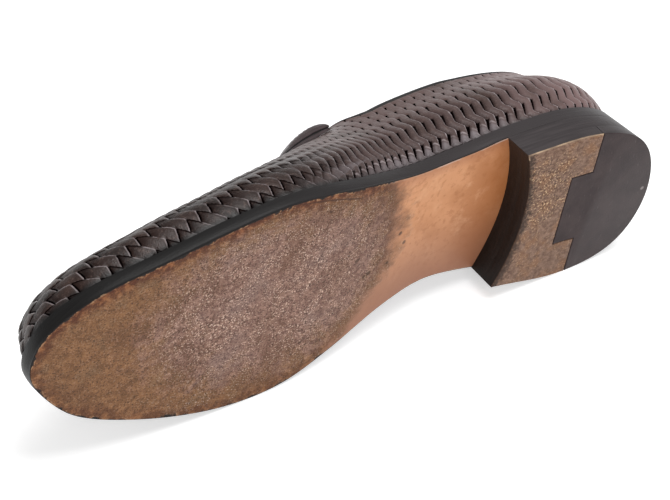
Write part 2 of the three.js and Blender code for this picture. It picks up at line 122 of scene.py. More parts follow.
# Rings down the edge of the strap: share of the thickness and how far they are pinched in
STRAP_RINGS = ((0.62, 0.0), (0.54, STRAP_SEAM), (0.46, STRAP_SEAM), (0.38, 0.0))
STRAP_BAND_KINDS = (0, 0, 1, 1, 0)

# Lie of the shoe: a point of the heel tread, and the turns from standing to lying
TREAD_POINT = (15.0, 0.0, 0.0)
REST_ROLL = math.radians(87.93)
REST_PITCH = math.radians(-6.33)

# Sole sections: share of the length, half widths each side, height of the underside
SOLE_COLUMNS = ("at", "lateral", "medial", "bottom")
SOLE_SECTIONS = (
    (0, -1, 1, 14),
    (0.02, 20.5, 22, 14),
    (0.06, 31.5, 31.5, 14),
    (0.13, 37.5, 35, 14),
    (0.22, 37, 32, 14),
    (0.32, 34.5, 28.5, 13.3),
    (0.4, 36.8, 31.5, 9.1),
    (0.5, 44.5, 41.6, 3),
    (0.57, 49.1, 48.5, 0.3),
    (0.64, 49.7, 51.8, 0),
    (0.72, 45.4, 50.6, 0.3),
    (0.82, 36.7, 44.8, 1.8),
    (0.91, 26.8, 35.6, 4.4),
    (0.97, 13.5, 20.5, 6.8),
    (1, -5, 5, 8),
)

# Last sections: place, ridge height, ridge side position, lean, swell of each side, swell height, collars
LAST_COLUMNS = ("x", "ridge", "mid", "lean", "swell", "swell_in", "swell_top", "outer", "inner")
LAST_SECTIONS = (
    (28, 92, -1, 3.4, 4, 4, 35, 41.6, 42.4),
    (36, 91, -1, 3.2, 4, 3.2, 36, 42.2, 42.6),
    (45, 90, -1, 3, 3, 2.2, 37, 43.2, 43),
    (55, 87, -0.5, 2.7, 2.2, 2, 38, 44.8, 43.2),
    (65, 84, 0, 2.3, 2, 2, 38, 44.8, 43.5),
    (90, 73, 0, 1.6, 2, 2, 36, 43.2, 43.2),
    (115, 57, 1, 1.15, 2, 2, 33, 42.4, 43),
    (140, 52.8, 1, 1.05, 2.2, 2, 31, 42, 43),
    (165, 47.4, 0, 1, 2, 2, 28, 47.4, 47.4),
    (200, 40, -2, 1, 2, 2, 25, 40, 40),
    (235, 33.8, -4, 0.9, 3.2, 1, 22, 33.8, 33.8),
    (262, 27.6, -5, 0.9, 1.9, -2.4, 20, 27.6, 27.6),
    (278, 21.2, -5, 1, -2.4, -4, 20, 21.2, 21.2),
)

# Weave: strips that slant on the vamp and stand upright behind it, with slits between them
WEAVE_PITCH = 5.7
WEAVE_ROW = 11.2
WEAVE_LEAN = -3.2
LEAN_ROW = 4 * WEAVE_PITCH / abs(WEAVE_LEAN)
WEAVE_SHIFT = -WEAVE_ROW / 4
MIRROR_ROW = 0.5
REAR_PITCH = 4.9
REAR_DRIFT = 0.15
REAR_DRIFT_RUN = 84.0
REAR_ROWS = 7
REAR_X = 112.0
VAMP_X = 170.0
FULL_WALL_X = 175.0
VAMP_BLEND_X = (130.0, 185.0)
SNUG_CLIMB = (12.0, 36.0)
HEEL_SNUG = 0.75
HEEL_SNUG_X = (30.0, 70.0)
HEEL_SLIT = 0.6
HEEL_SLIT_X = (30.0, 80.0)
HEM_WIDE = 2.5
HEM_RISE = 0.4

# Relief of the strips. Spans and powers are shares of a strip, heights are millimetres
WEAVE_TUCK = 0.25
WEAVE_RISE = 1.0
REAR_CLIMB = 0.55
REAR_DROP = 0.35
REAR_DROP_FROM = 0.8
SNUG_FLAT = 0.85
SNUG_SHALLOW = 0.5
SWAY_SHARP = 0.7
VAMP_RISE = 0.65
VAMP_CLIMB = (0.05, 0.7)
VAMP_CROWN = 0.22
VAMP_CROWN_POWER = 4
VAMP_DROP = 0.6
VAMP_DROP_FROM = 0.8
SLIT_VAMP = 1.0
SLIT_BEFORE = 0.35
SLIT_DEEP = 0.4
SLIT_SOFT = 0.5
SLIT_BLUNT = 0.3

# Rear rows: height of the slit tops on the wall, and rows down from the lowest full row
REAR_TOPS = (
    (-20.0, 3.0),
    (-1.2, 1.0),
    (8.0, 0.0),
    (19.2, -1.0),
    (29.0, -2.0),
    (36.7, -3.0),
    (43.0, -4.0),
    (48.5, -5.0),
    (60.0, -7.5),
)

# Rear slits by height on the wall: length in rows, width, sway of the strips in pitches, taper at both ends
REAR_COLUMNS = ("height", "long", "wide", "sway", "head", "tail")
REAR_SLITS = (
    (8, 0.72, 2.1, 0.5, 0.15, 0.4),
    (14, 0.62, 1.9, 0.36, 0.15, 0.5),
    (20, 0.58, 1.75, 0.26, 0.15, 0.5),
    (28, 0.55, 1.6, 0.2, 0.12, 0.5),
    (36, 0.5, 1.4, 0.16, 0.12, 0.5),
    (45, 0.45, 1.2, 0.12, 0.12, 0.5),
)

# Masks of the weave: where each is nothing and where it is full, on a strip, a row or a slit
SLIT_MASK = (-0.2, 0.3)
VAMP_TUCKED = (0.56, 0.44)
VAMP_TOP_LINE = (0.15, 0.03)
VAMP_TIP = (0.89, 0.94)
VAMP_SHADE = (0.5, 0.08)
VAMP_EDGE = 0.35
# Rear seam lines: a dark joint with painted shadow under the lifted strip
REAR_SEAM_SHADOW = (0.6, 0.15)
REAR_SEAM_SHADOW_BELOW = (0.8, 1.1)
REAR_RIM = (0.82, 0.93)
REAR_RIM_LEAST = 0.2
REAR_BEND_AT = 0.95
REAR_SHADE = (0.5, 0.1)
REAR_LOWEST = (8.5, 6.5)
REAR_LOWEST_X = (45.0, 80.0)
REAR_END_LEAN = 0.55
REAR_END_AT = 0.16
REAR_END_SHEEN = (0.0, 0.3)
REAR_SHEEN_LEAST = 0.4
REAR_LIP = (0.1, 0.03)
REAR_LIP_SHARE = 0.4
WOVEN_WEAR_AND_HIGHLIGHT = (0.25, 0.55)
# Painted shade on the weave near the sole edge: how high it reaches, and its strength behind and on the vamp
WOVEN_FOOT_SHADE = (2.8, 0.4)
WOVEN_FOOT_SHADE_REAR = 0.35
WOVEN_FOOT_SHADE_VAMP = 0.45

# Places on the sole and heel, and marks worn into them
SOLE_SCARS = (
    ((115.9, 0.2), 1.3),
    ((120.0, 6.7), 1.3),
    ((123.8, -6.9), 1.0),
    ((134.8, -7.1), 1.6),
    ((137.5, -7.8), 1.2),
    ((144.7, 4.2), 1.5),
)
SPOT_CORE = 0.2
TREAD_MIDDLE = (185.0, 2.0)
TREAD_REACH = (66.0, 44.0)
TREAD_RAGGED = 2.4
WORN_FROM_X = 121.0
WORN_MIDDLE_Y = 8.0
WORN_BEND = 0.0122
WORN_RAGGED = {"blot": 22.0, "streak": 9.0, "patch": 5.0}
WORN_SPAN = (-8.0, 8.0)
STAIN_SPAN = (-9.0, 2.0)
BAND_SPANS = ((-3.0, 3.0), (13.0, 4.0))
BAND_Y = (-30.0, 14.0)
MIDDLE_SPAN = (1.3, 0.3)
DUST_PALE = (0.58, 0.67)
DUST_DARK = (0.42, 0.33)
DUST_PALE_LEAST = 0.12
DUST_DARK_LEAST = 0.75
DUST_DARK_MORE = 0.15
DUSTY_X = (260.0, 210.0)
RUST_SPAN = (8.5, 0.5)
RUST_Y = (-12.0, 12.0)
RUST_RAGGED = 10.0
RUST_LEAST = 0.5
RUST_OUTER = 0.4
CHANNEL_DEPTH = 23.6
CHANNEL_SLOPE = -0.12
CHANNEL_LINE = (0.6, 0.2)
CHANNEL_STRETCH = ((148.0, 156.0), (190.0, 180.0))
CHANNEL_Y = (0.0, 10.0)
INK_RAGGED = 2.5
INK_SMEAR = 1.3
INK_WIDE = 0.3
INK_EDGE = (0.3, -0.3)
INK_LEAST = (0.55, 0.3)
INK_HEEL_X = (62.5, 60.0)
RIM_LINE = (0.4, 0.1)
LIP_AT = 0.5
RIM_HIGHLIGHT_AT = 0.75
RIM_HIGHLIGHT_Y = (0.0, 9.0)
LIFT_GRIT_AT = (57.0, 16.0)
LIFT_GRIT_WIDE = 24.0
LIFT_GRIT = 0.6
LIFT_GRIT_LEAST = 0.3
RUBBER_PALE_SPOT_AT = (-0.7, 0.7)
RUBBER_PALE_SPOT_WIDE = 1.1
BREAST_WIDE = 71.0
BREAST_MIDDLE = 2.5
BREAST_RAGGED = 7.0

# Pairs of tones on screen, 0 to 255, and the span of a noise over which the first turns into the second
PLAIN_SPAN = (0.3, 0.7)
WAIST_GROUND = ((0.38, 0.62), (192, 136, 96), (172, 116, 76))
TAN_GROUND = ((0.26, 0.74), (98, 67, 43), (134, 96, 65))
GREY_GROUND = ((0.36, 0.64), (104, 76, 66), (138, 107, 94))
RUST_GROUND = ((0.46, 0.68), (76, 39, 24), (134, 82, 48))
LIFT_GROUND = ((0.36, 0.64), (96, 71, 57), (129, 102, 86))
RUBBER_GROUND = (PLAIN_SPAN, (45, 35, 36), (57, 46, 46))
EDGE_SPAN = (0.35, 0.7)
EDGE_TONES = ((8, 6, 6), (15, 13, 12))
EDGE_HEEL_TONE = (54, 49, 50)
EDGE_HEEL_X = (240.0, 40.0)
HEEL_TONES = ((50, 45, 46), (62, 56, 57))
BREAST_TONES = ((15, 9, 7), (27, 17, 13))
CORNER_TONES = ((96, 74, 58), (176, 150, 122))
STRIP_TONES = ((24, 10, 6), (40, 21, 15))
BINDING_TONES = ((12, 10, 10), (22, 19, 19))
STRAP_TONES = ((58, 47, 48), (78, 66, 67))
SEAM_TONES = ((12, 9, 9), (18, 14, 14))
THREAD_TONES = ((34, 28, 29), (52, 44, 45))
LINING_TONES = ((146, 108, 76), (168, 128, 94))

# Layers in the order they are laid on: span over which a value comes in, or None, then strength and tone
WOVEN_LAYERS = {
    "rear": (None, 0.7, (82, 64, 62)),
    "snug": (None, 0.5, (104, 80, 76)),
    "heel": ((75.0, 20.0), 0.6, (132, 107, 106)),
    "cloud": ((0.45, 0.8), 1.0, (56, 37, 30)),
    "scuffed": ((0.5, 0.7), 0.26, (124, 102, 94)),
    # Painted sheen: pale blue-grey on the lowest ends of the rear strips
    "pale": (None, 0.65, (134, 126, 130)),
    "shade": (None, 0.4, (22, 15, 15)),
    # Lifted edges lightened: partly wear, partly a painted highlight where light catches them
    "worn": (None, 1.0, (196, 184, 186)),
    # Painted shade: the weave darkened near the sole edge
    "foot": (None, 1.0, (14, 12, 12)),
    # Dark seams: partly the joint between strips, partly painted shadow where one strip lies over the next
    "seam": (None, 0.9, (12, 7, 7)),
    # Painted shade: the slits coloured near black for the shade inside the gaps
    "slit": (None, 1.0, (6, 3, 3)),
}
WAIST_LAYERS = {
    "blot": ((0.5, 0.72), 0.6, (208, 158, 120)),
    "patch": ((0.5, 0.66), 0.42, (150, 94, 54)),
    "x": ((88.0, 66.0), 0.7, (156, 94, 50)),
    "rim": ((7.0, 0.5), 0.5, (140, 88, 62)),
    "y": ((14.0, -30.0), 0.85, (138, 94, 72)),
    "stain": (None, 0.9, (134, 94, 72)),
}
TAN_LAYERS = {"blot": ((0.5, 0.68), 0.55, (108, 84, 62))}
GREY_LAYERS = {"cloud": ((0.5, 0.66), 0.4, (126, 106, 100))}
TREAD_LAYERS = {
    "cloud": ((0.5, 0.34), 0.45, (92, 62, 42)),
    "pale_dust": (None, 1.0, (206, 180, 162)),
    "dark_dust": (None, 1.0, (60, 41, 34)),
    "dusty": (None, 0.75, (200, 178, 164)),
    "grit": ((0.36, 0.26), 0.7, (56, 38, 30)),
}
BAND_LAYERS = {"band": (None, 0.55, (84, 56, 44))}
SCAR_LAYERS = {"scar": (None, 0.75, (58, 38, 28))}
RIM_LAYERS = {
    "channel": (None, 0.8, (62, 38, 28)),
    "inked": (None, 1.0, (30, 27, 26)),
    # Pale lip at the ink's edge: partly pale leather, partly painted highlight specks
    "lip": (None, 0.45, (168, 138, 108)),
    # Painted highlight: a pale line where the rim of the waist catches light
    "thread": (None, 0.6, (190, 172, 164)),
}
LIFT_LAYERS = {
    "blot": ((0.46, 0.64), 0.7, (124, 88, 62)),
    "pale": (None, 1.0, (200, 170, 134)),
    "dark": (None, 1.0, (58, 38, 30)),
    "smear": ((4.2, 0.6), 0.8, (40, 27, 21)),
}
RUBBER_LAYERS = {
    "scuff": ((0.62, 0.8), 0.4, (130, 120, 118)),
    "pale_spot": (None, 0.6, (150, 142, 140)),
}

# How finely each piece is cut
OUTLINE_STEPS = 600
WALL_STEPS = 90
UPPER_STATIONS = 700
UPPER_LEVELS = 52
LINING_LEVELS = 8
SOLE_STATIONS = 240
SOLE_ACROSS = 36
SOLE_TOP_ACROSS = 4
EDGE_RINGS = 8
BEVEL_RINGS = 4
INSOLE_STATIONS = SOLE_STATIONS // 2
INSOLE_ACROSS = 8
INSOLE_UNDER_ACROSS = 4
HEEL_STEPS = 60
WORN_SIDES = HEEL_STEPS + 1
BREAST_STEPS = 24
BINDING_STATIONS = 336
BINDING_SIDES = 14
BINDING_SHARES = np.array((0.5, 0.75, 1))
STRAP_ALONG = 28
STRAP_ACROSS = 64
STITCH_LINE_STEPS = 60
STITCH_SIDES = 6
TINY = 1e-9
NEAR = 1e-3

# Angle in degrees past which an edge is drawn sharp
SHARP = 35
HEEL_SHARP = 40
SOLE_SHARP = 50
WOVEN_SHARP = 60

# Floor, light and camera
FLOOR_SIZE = 6.0
FLOOR_COLOUR = (0.85, 0.85, 0.85, 1.0)
FLOOR_GLOW = 0.45
WHITE = (1, 1, 1, 1)
WORLD_STRENGTH = 0.42
LIGHT_SIZE = 1.2
LIGHTS = (
    ("key", (-0.25, 0.1, 1.6), (0, 0, 0.03), 20),
    ("front", (0.5, 1.5, 0.9), (0, 0, 0.05), 12),
)
CAMERA_PLACE = (1241.74, 1231.75, -1094.70)
CAMERA_TARGET = (147.08, 1.67, 15.0)
CAMERA_UP = (-0.23926, 0.75909, 0.60542)
CAMERA_FAR = 100
FOCAL_PIXELS = 5000.0
PHOTO_WIDE = 670.0
SENSOR = 36.0


# Table reading
def column(table, names, name):
    return np.array([row[names.index(name)] for row in table], float)


def smooth_through(knots, values, t):
    """Smooth curve through the rows of one column."""
    place = np.arange(len(knots))
    before = np.maximum(place - 1, 0)
    after = np.minimum(place + 1, len(knots) - 1)
    slope = (values[after] - values[before]) / (knots[after] - knots[before])
    t = np.clip(t, knots[0], knots[-1])
    i = np.clip(np.searchsorted(knots, t, side="left") - 1, 0, len(knots) - 2)
    span = knots[i + 1] - knots[i]
    s = (t - knots[i]) / span
    s2 = s * s
    s3 = s2 * s
    low = (2 * s3 - 3 * s2 + 1) * values[i] + (s3 - 2 * s2 + s) * slope[i] * span
    high = (3 * s2 - 2 * s3) * values[i + 1] + (s3 - s2) * slope[i + 1] * span
    return low + high


SOLE_SHARE = column(SOLE_SECTIONS, SOLE_COLUMNS, "at")
SOLE_ANGLE = np.arccos(1 - 2 * SOLE_SHARE)
SIDE_WIDTH = {
    1: column(SOLE_SECTIONS, SOLE_COLUMNS, "lateral"),
    -1: -column(SOLE_SECTIONS, SOLE_COLUMNS, "medial"),
}
SOLE_UNDER = column(SOLE_SECTIONS, SOLE_COLUMNS, "bottom")
LAST_X = column(LAST_SECTIONS, LAST_COLUMNS, "x")


def last_value(name, x):
    return smooth_through(LAST_X, column(LAST_SECTIONS, LAST_COLUMNS, name), x)


def sole_bottom(x):
    return smooth_through(SOLE_SHARE * SOLE_LENGTH, SOLE_UNDER, x)


def sole_top(x):
    return sole_bottom(x) + SOLE_EDGE


def smoothstep(low, high, value):
    t = np.clip((value - low) / (high - low), 0, 1)
    return t * t * (3 - 2 * t)


def unit(vectors):
    return vectors / np.maximum(np.linalg.norm(vectors, axis=-1, keepdims=True), TINY)


# Lines and loops
def run_of(line):
    steps = np.linalg.norm(np.diff(line, axis=0), axis=1)
    return np.concatenate([[0], np.cumsum(steps)])


def read_along(run, values, lengths):
    """Rows of values, known at lengths of a run, read at other lengths."""
    return np.stack([np.interp(lengths, run, axis) for axis in values.T], -1)


def evenly(line, shares):
    """A polyline read at shares of its length."""
    run = run_of(line)
    return read_along(run, line, shares * run[-1])


def side_points(side, count):
    angle = np.linspace(0, math.pi, OUTLINE_STEPS + 1)
    x = SOLE_LENGTH * (1 - np.cos(angle)) / 2
    x -= TOE_BLUNT * np.clip((x - TOE_BLUNT_X) / (SOLE_LENGTH - TOE_BLUNT_X), 0, 1) ** 2
    line = np.stack([x, smooth_through(SOLE_ANGLE, SIDE_WIDTH[side], angle)], -1)
    return evenly(line, np.linspace(0, 1, count + 1))


def plan_loop(count):
    outer = side_points(1, count)
    inner = side_points(-1, count)
    return np.concatenate([outer, inner[1:count][::-1]])


def neighbours(loop):
    """From the point before to the point after, for each point of a closed loop."""
    return np.roll(loop, -1, 0) - np.roll(loop, 1, 0)


def inset_loop(loop, inset):
    along = unit(neighbours(loop))
    return loop + inset * np.stack([along[:, 1], -along[:, 0]], -1)


def raised(plan, height):
    """Plan points with a height of their own."""
    height = np.broadcast_to(height, plan.shape[:-1])
    return np.concatenate([plan, height[..., None]], -1)


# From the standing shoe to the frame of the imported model
TURN = np.array(Matrix.Rotation(REST_PITCH, 3, "Y") @ Matrix.Rotation(REST_ROLL, 3, "X"))
TREAD_MOUNT = next(m for m in frame["record"]["mounts"] if m["name"] == "heel_tread")
SHIFT = np.array(TREAD_MOUNT["pos_m"]) - TURN @ np.array(TREAD_POINT) / 1000


def to_row(points):
    return np.asarray(points, float) @ TURN.T / 1000 + SHIFT


# Mesh building
def make_piece(name, points, faces, finishes, replaced=None, face_finish=None, sharp=SHARP):
    """A mesh from standing points, riding on the shoe, with its standing place kept for the finishes."""
    mesh = bpy.data.meshes.new(name)
    mesh.from_pydata(to_row(points).tolist(), [], [list(face) for face in faces])
    for finish in finishes:
        mesh.materials.append(finish)
    if face_finish is not None:
        mesh.polygons.foreach_set("material_index", np.asarray(face_finish, np.int32))
    add_attribute(mesh, "standing", points)
    mesh.shade_smooth()
    mesh.set_sharp_from_angle(angle=math.radians(sharp))
    mesh.update()
    piece = bpy.data.objects.new(name, mesh)
    bpy.context.scene.collection.objects.link(piece)
    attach(piece, "root")
    if replaced:
        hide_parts(replaced)
    return piece


def add_attribute(mesh, name, values):
    values = np.asarray(values, np.float32)
    kind, field = ("FLOAT_VECTOR", "vector") if values.ndim == 2 else ("FLOAT", "value")
    mesh.attributes.new(name, kind, "POINT").data.foreach_set(field, values.ravel())


def numbered(points, start=0):
    """Vertex numbers for a grid of points."""
    shape = points.shape[:-1]
    return start + np.arange(math.prod(shape)).reshape(shape)


def band_faces(rings):
    """Quads between each ring of vertex numbers and the next. Seen from the last, rings run clockwise."""
    rings = np.asarray(rings)
    ahead = np.roll(rings, -1, 1)
    return np.stack([rings[1:], ahead[1:], ahead[:-1], rings[:-1]], -1).reshape(-1, 4)


def cell_corners(grid):
    """The four corners of each cell of a grid."""
    return np.stack([grid[:-1, :-1], grid[:-1, 1:], grid[1:, 1:], grid[1:, :-1]], 2)


def sheet_faces(ids):
    return cell_corners(ids).reshape(-1, 4)


def across_points(ring, across, height):
    """Inner points of a cap: rows between each outer point and its mate on the inner side."""
    half = len(ring) // 2
    outer = ring[1:half, None, :2]
    inner = ring[:half:-1, None, :2]
    share = np.linspace(0, 1, across + 1)[1:-1]
    plan = outer + (inner - outer) * share[:, None]
    return raised(plan, height(plan[..., 0]))


def cap_faces(ring_ids, inner_ids, up):
    """Quads of a cap: its ring and the rows of inner points, closed by triangles at heel and toe."""
    half = len(ring_ids) // 2
    rows = np.concatenate([ring_ids[1:half, None], inner_ids, ring_ids[:half:-1, None]], 1)
    quads = sheet_faces(rows.T)
    heel = [(ring_ids[0], a, b) for a, b in zip(rows[0, :-1], rows[0, 1:])]
    toe = [(ring_ids[half], b, a) for a, b in zip(rows[-1, :-1], rows[-1, 1:])]
    faces = [*quads.tolist(), *heel, *toe]
    return [face[::-1] for face in faces] if up else faces


def plate(rings, under, over):
    """Points and faces of a plate: a cap of inner points below, the rings up its edge, a cap above."""
    ids = numbered(np.stack(rings))
    under_ids = numbered(under, ids.size)
    over_ids = numbered(over, ids.size + under_ids.size)
    points = np.concatenate([*rings, under.reshape(-1, 3), over.reshape(-1, 3)])
    bottom = cap_faces(ids[0], under_ids, False)
    top = cap_faces(ids[-1], over_ids, True)
    return points, (bottom, band_faces(ids).tolist(), top)


# Finishes: values of one shader, which add and multiply like numbers
def tone(screen):
    """A colour given as it looks on screen, 0 to 255."""
    share = np.array(screen) / 255
    linear = np.where(share <= 0.04045, share / 12.92, ((share + 0.055) / 1.055) ** 2.4)
    return (*linear.tolist(), 1.0)


def reckoned(operation):
    """A method that makes a math node of one operation."""
    return lambda value, *others: value.finish.math(operation, value, *others)


class Value:
    """A value in the nodes of a finish."""

    __add__ = reckoned("ADD")
    __sub__ = reckoned("SUBTRACT")
    __mul__ = reckoned("MULTIPLY")
    __truediv__ = reckoned("DIVIDE")
    __pow__ = reckoned("POWER")
    __abs__ = reckoned("ABSOLUTE")
    floor = reckoned("FLOOR")
    cosine = reckoned("COSINE")
    at_least = reckoned("MAXIMUM")
    at_most = reckoned("MINIMUM")

    def __init__(self, finish, socket):
        self.finish = finish
        self.socket = socket

    def __rsub__(self, other):
        return self.finish.math("SUBTRACT", other, self)

    def smooth(self, start, full):
        """0 up to start and 1 from full on. It falls where start is the larger."""
        inputs = {"Value": self, "From Min": start, "From Max": full}
        return self.finish.value("MapRange", inputs, interpolation_type="SMOOTHSTEP")


class Finish:
    """One material around a principled shader."""

    def __init__(self, name, roughness, specular=0.5, coat=0.0, coat_roughness=0.2):
        self.material = bpy.data.materials.new(name)
        self.material.use_nodes = True
        self.tree = self.material.node_tree
        self.shader = self.tree.nodes["Principled BSDF"]
        self.set("Roughness", roughness)
        self.set("Specular IOR Level", specular)
        self.set("Coat Weight", coat)
        self.set("Coat Roughness", coat_roughness)

    def set(self, name, value):
        """Sets or links an input of the shader."""
        self.feed(self.shader, {name: value})

    def feed(self, node, inputs):
        for key, value in inputs.items():
            if isinstance(value, Value):
                self.tree.links.new(value.socket, node.inputs[key])
            else:
                node.inputs[key].default_value = value

    def value(self, kind, inputs, output=0, **settings):
        """One output of a new node with these settings and inputs."""
        node = self.tree.nodes.new("ShaderNode" + kind)
        for name, setting in settings.items():
            setattr(node, name, setting)
        self.feed(node, inputs)
        return Value(self, node.outputs[output])

    def math(self, operation, first, second=0.0):
        return self.value("Math", {0: first, 1: second}, operation=operation)

    def amount(self, name, output="Fac"):
        """A value kept with the points of the mesh."""
        return self.value("Attribute", {}, output, attribute_name=name)

    def place(self):
        return self.amount("standing", "Vector")

    def parts(self, vector):
        return [self.value("SeparateXYZ", {0: vector}, axis) for axis in range(3)]

    def stretched(self, vector, scale):
        return self.value("VectorMath", {0: vector, 1: scale}, operation="MULTIPLY")

    def noise(self, vector, size, detail=2.0, rough=0.5):
        """Noise whose lumps are about size millimetres across."""
        inputs = {"Vector": vector, "Scale": 1 / size, "Detail": detail, "Roughness": rough}
        return self.value("TexNoise", inputs)

    def cells(self, vector, size):
        return self.value("TexVoronoi", {"Vector": vector, "Scale": 1 / size}, "Distance")

    def chance(self, first, second):
        """One random number for each pair of whole numbers."""
        pair = self.value("CombineXYZ", {0: first, 1: second})
        return self.value("TexWhiteNoise", {"Vector": pair}, "Value")

    def spot(self, x, y, centre, radius):
        """A soft round spot at a place on the sole."""
        along = x - centre[0]
        across = y - centre[1]
        return (along * along + across * across).smooth(radius**2, SPOT_CORE * radius**2)

    def mix(self, share, *pair):
        """A colour between two, given as tones or as values."""
        first, second = (colour if isinstance(colour, Value) else tone(colour) for colour in pair)
        return self.value("Mix", {0: share, 6: first, 7: second}, 2, data_type="RGBA")

    def ground(self, value, span, dark, light):
        return self.mix(value.smooth(*span), dark, light)

    def layered(self, base, layers, values):
        """Layers of tone laid over a base, each where its value says."""
        for name, (span, strength, over) in layers.items():
            where = values[name].smooth(*span) if span else values[name]
            base = self.mix(where * strength, base, over)
        return base

    def colour(self, value):
        self.set("Base Color", value)

    def bump(self, height, depth):
        """Bump of a height from 0 to 1, depth millimetres deep."""
        inputs = {"Strength": 1.0, "Distance": depth / 1000, "Height": height}
        self.set("Normal", self.value("Bump", inputs))


def whole(value):
    """The whole number below a value of a finish or below each number."""
    return value.floor() if isinstance(value, Value) else np.floor(value)


def fraction(value):
    return value - whole(value)


def clipped(value):
    """A value of a finish, or numbers, kept between 0 and 1."""
    if isinstance(value, Value):
        return value.at_least(0.0).at_most(1.0)
    return np.clip(value, 0, 1)


def smooth_leather(name, tones, roughness):
    """Plain dyed leather: soft blotches and a fine grain."""
    finish = Finish(name, roughness, coat=0.12, coat_roughness=0.35)
    place = finish.place()
    finish.colour(finish.ground(finish.noise(place, 9, 3), PLAIN_SPAN, *tones))
    finish.bump(finish.cells(place, 0.55) + finish.noise(place, 2.5), 0.12)
    return finish.material


def edge_finish(name, tones, heel=None):
    """Inked and waxed edge of sole and heel: dark, smooth, faintly streaked along its length."""
    finish = Finish(name, 0.45, specular=0.28, coat=0.03, coat_roughness=0.3)
    place = finish.place()
    streak = finish.noise(finish.stretched(place, (0.06, 0.06, 1.2)), 1.0, 3)
    colour = finish.ground(streak, EDGE_SPAN, *tones)
    if heel is not None:
        x, _, _ = finish.parts(place)
        colour = finish.mix(x.smooth(*EDGE_HEEL_X), colour, heel)
    finish.colour(colour)
    finish.set("Roughness", streak * 0.2 + 0.35)
    finish.bump(streak + finish.noise(place, 0.8), 0.08)
    return finish.material


# Shape of the upper
def ridge_x(x):
    heel = np.maximum(0, 1 - x / HEEL_FAN_SPAN)
    toe = np.maximum(0, (x - SOLE_LENGTH + TOE_FAN_SPAN) / TOE_FAN_SPAN)
    return x + HEEL_FAN * heel**2 - TOE_FAN * toe**2


def collar_height(x, outer_side):
    side = np.where(outer_side, last_value("outer", x), last_value("inner", x))
    share = np.minimum(1, (THROAT_X - x) / THROAT_ROUND)
    rounded = side + (last_value("ridge", THROAT_X) - side) * (1 - share) ** 2
    return np.where(x >= THROAT_X, last_value("ridge", x), rounded)


def wall_lines(foot, x, outer_side):
    """Lines up the wall from the feather edge to the collar or the ridge, one row for each foot point."""
    swell = np.where(outer_side, last_value("swell", x), last_value("swell_in", x))
    top = np.stack([x, last_value("mid", x)], -1)
    reach = np.linalg.norm(top - foot, axis=1)
    inward = (top - foot) / reach[:, None]
    base = sole_top(foot[:, 0]) + SEAM_GAP
    rise = sole_top(x) + last_value("ridge", x) - base
    cut = sole_top(x) + collar_height(x, outer_side) - base
    end = np.arcsin(np.clip(cut / rise, 0, 1))
    angle = np.linspace(0, 1, WALL_STEPS + 1) * end[:, None]
    up = rise[:, None] * np.sin(angle)
    swell_top = last_value("swell_top", x)[:, None]
    puff = np.where(up < swell_top, swell[:, None] * np.sin(np.pi * up / swell_top), 0)
    lean = last_value("lean", x)[:, None]
    inset = reach[:, None] * (1 - np.clip(np.cos(angle), 0, 1) ** lean) - puff
    plan = foot[:, None, :] + inward[:, None, :] * inset[..., None]
    return raised(plan, base[:, None] + up), -inward


def last_grid(count, shares):
    """Grid of the last surface: wall lines all round, each read at shares of its length."""
    foot = inset_loop(plan_loop(count), FEATHER_INSET)
    station = np.arange(2 * count)
    mate = -station % (2 * count)
    x = ridge_x((foot[:, 0] + foot[mate, 0]) / 2)
    lines, outward = wall_lines(foot, x, station <= count)
    return {
        "points": np.stack([evenly(line, shares) for line in lines]),
        "length": np.array([run_of(line)[-1] for line in lines]),
        "x": x,
        "outward": outward,
        "open": x < THROAT_X,
        "mate": mate,
    }


def grid_normals(grid):
    points = grid["points"]
    up = np.empty_like(points)
    up[:, 1:-1] = points[:, 2:] - points[:, :-2]
    up[:, 0] = points[:, 1] - points[:, 0]
    up[:, -1] = points[:, -1] - points[:, -2]
    over = points[grid["mate"], -2] - points[:, -2]
    closed = ~grid["open"] & (np.linalg.norm(over, axis=1) > NEAR)
    up[closed, -1] = over[closed]
    return unit(np.cross(up, neighbours(points)))


def offset_grid(grid, distance):
    """Points moved off the last along their normals. The lowest level keeps its height."""
    points = grid["points"]
    moved = points + grid_normals(grid) * distance[..., None]
    moved[:, 0, 2] = points[:, 0, 2]
    both = (moved[:, -1] + moved[grid["mate"], -1]) / 2
    closed = ~grid["open"]
    moved[closed, -1] = both[closed]
    return moved


# Lie of the weave on the upper
def rear_height(climbed, run):
    """Height above the rows of the rear wall, which climb round the heel."""
    return climbed - REAR_DRIFT * np.maximum(0, REAR_DRIFT_RUN - run)


def rear_rows(height):
    """Rows down from the lowest full row of slits at a height on the rear wall."""
    tops = np.array(REAR_TOPS)
    return smooth_through(tops[:, 0], tops[:, 1], height)


def feather_run(station):
    """Length along the feather edge from the heel, on each side."""
    count = UPPER_STATIONS
    outer = run_of(side_points(1, count))[np.minimum(station, count)]
    inner = run_of(side_points(-1, count))[np.minimum(2 * count - station, count)]
    return np.where(station <= count, outer, inner)[:, None]


def feather_run_at(x, station):
    """Length along the feather edge from the heel to a place along the foot, on each side."""
    found = {}
    for side in (1, -1):
        line = side_points(side, UPPER_STATIONS)
        found[side] = np.interp(x, line[:, 0], run_of(line))
    return np.where(station <= UPPER_STATIONS, found[1], found[-1])[:, None]


